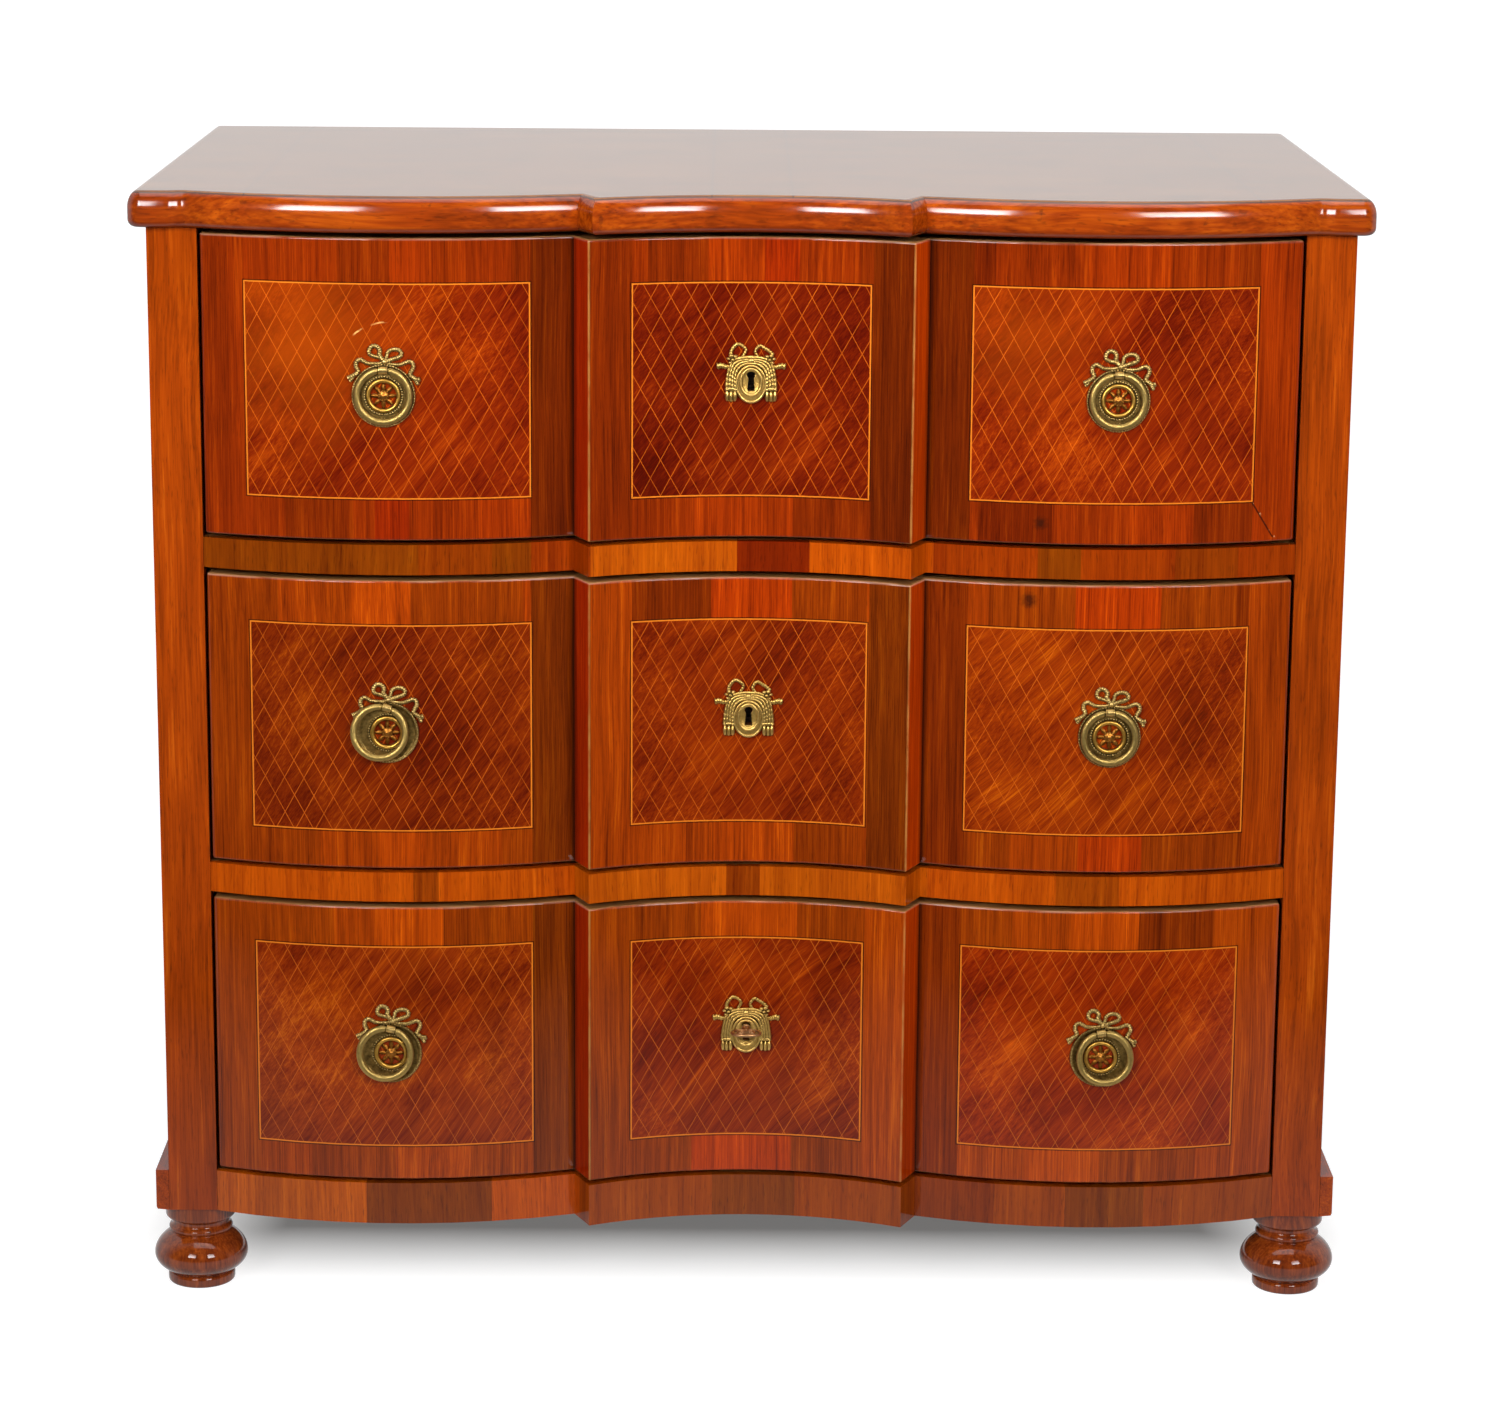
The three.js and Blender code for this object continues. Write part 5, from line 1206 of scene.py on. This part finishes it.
def floor():
    """A pale floor that sweeps up behind the chest, its glow painted darker under the case as a shadow."""
    half, near, far, bend, height = 9.0, -1.5, 5.0, 2.0, 7.0
    profile = [(near, 0.0), (far - bend, 0.0)]
    profile += [(far - bend + bend * math.sin(a), bend - bend * math.cos(a)) for a in (math.pi / 2 * k / 16 for k in range(1, 17))]
    profile.append((far, height))
    points = [(x, y, z) for x in (-half, half) for y, z in profile]
    count = len(profile)
    faces = [(i, count + i, count + i + 1, i + 1) for i in range(count - 1)]
    mesh = bpy.data.meshes.new("floor")
    mesh.from_pydata(points, [], faces)
    for face in mesh.polygons:
        face.use_smooth = True
    piece = bpy.data.objects.new("floor", mesh)
    bpy.context.scene.collection.objects.link(piece)
    graph = Graph("floor_paper")
    tree = graph.tree
    diffuse = graph.node("ShaderNodeBsdfDiffuse", {"Color": (PAPER, PAPER, PAPER, 1.0)})
    outside = [
        graph.math("MAXIMUM", graph.math("SUBTRACT", graph.math("ABSOLUTE", value), half_size), 0.0)
        for value, half_size in zip((graph.x, graph.y), PAINTED_SHADOW_FOOTPRINT)
    ]
    away = graph.math("SQRT", graph.math("ADD", *(graph.math("MULTIPLY", value, value) for value in outside)))
    # The floor's glow is painted lower under the case and rises over 125 mm outside it: a painted shadow.
    strength = graph.spread(away, 0, 125, PAINTED_SHADOW_GLOW, NEAR_GLOW)
    strength = graph.math("ADD", strength, graph.spread(away, 125, 1400, 0.0, FAR_GLOW - NEAR_GLOW))
    rays = graph.node("ShaderNodeLightPath").outputs
    white = (1.0, 1.0, 1.0, 1.0)
    glow = graph.node("ShaderNodeEmission", {"Color": white, "Strength": strength})
    both = graph.node("ShaderNodeAddShader", {0: diffuse.outputs[0], 1: glow.outputs[0]})
    shown = graph.node("ShaderNodeMixShader", {0: rays["Is Camera Ray"], 1: diffuse.outputs[0], 2: both.outputs[0]})
    ahead = graph.spread(graph.y, -1100, -300, ROOM_AHEAD, 0.88)
    mirrored = graph.node("ShaderNodeEmission", {"Color": white, "Strength": graph.math("MULTIPLY", strength, ahead)})
    polished = graph.math("MAXIMUM", rays["Is Glossy Ray"], rays["Is Transmission Ray"])
    shader = graph.node("ShaderNodeMixShader", {0: polished, 1: shown.outputs[0], 2: mirrored.outputs[0]})
    graph.node("ShaderNodeOutputMaterial", {0: shader.outputs[0]})
    mesh.materials.append(graph.material)


WORLD_LIGHT = 0.32  # of diffuse rays
ROOM_AHEAD = 0.06  # what polished faces see in front of the chest
PAPER = 0.32
PAINTED_SHADOW_FOOTPRINT = (400.0, 95.0)  # half sizes of the painted shadow on the floor under the case
# The lowest glow paints the shadow under the case.
PAINTED_SHADOW_GLOW, NEAR_GLOW, FAR_GLOW = 0.15, 0.9, 0.97


def world():
    scene_world = bpy.data.worlds.new("studio")
    bpy.context.scene.world = scene_world
    scene_world.use_nodes = True
    tree = scene_world.node_tree
    tree.nodes.clear()
    rays = tree.nodes.new("ShaderNodeLightPath")
    place = tree.nodes.new("ShaderNodeTexCoord")
    split = tree.nodes.new("ShaderNodeSeparateXYZ")
    tree.links.new(place.outputs["Generated"], split.inputs[0])
    room = tree.nodes.new("ShaderNodeMapRange")
    tree.links.new(split.outputs[1], room.inputs[0])
    for index, value in enumerate((-0.35, 0.15, ROOM_AHEAD, 1.0), 1):
        room.inputs[index].default_value = value
    strength = tree.nodes.new("ShaderNodeMix")
    strength.inputs[2].default_value = WORLD_LIGHT
    tree.links.new(rays.outputs["Is Glossy Ray"], strength.inputs[0])
    tree.links.new(room.outputs[0], strength.inputs[3])
    shown = tree.nodes.new("ShaderNodeMix")
    shown.inputs[3].default_value = 1.0
    tree.links.new(rays.outputs["Is Camera Ray"], shown.inputs[0])
    tree.links.new(strength.outputs[0], shown.inputs[2])
    background = tree.nodes.new("ShaderNodeBackground")
    background.inputs[0].default_value = (1.0, 1.0, 1.0, 1.0)
    tree.links.new(shown.outputs[0], background.inputs[1])
    output = tree.nodes.new("ShaderNodeOutputWorld")
    tree.links.new(background.outputs[0], output.inputs[0])


table_top()
feet()
drawer_looks()
key()
case_looks()
camera()
world()
floor()
lamp("left_softbox", (-1.46, -3.3, 2.0), (0, -0.25, 1.4), (1.15, 1.3), 14.4, 62)
lamp("right_softbox", (1.46, -3.3, 2.0), (0, -0.25, 1.4), (1.15, 1.3), 12.9, 62)
lamp("overhead_softbox", (0, -0.6, 2.9), (0, -0.2, 0.5), (2.2, 1.6), 20)
bpy.context.scene.view_settings.view_transform = "Standard"
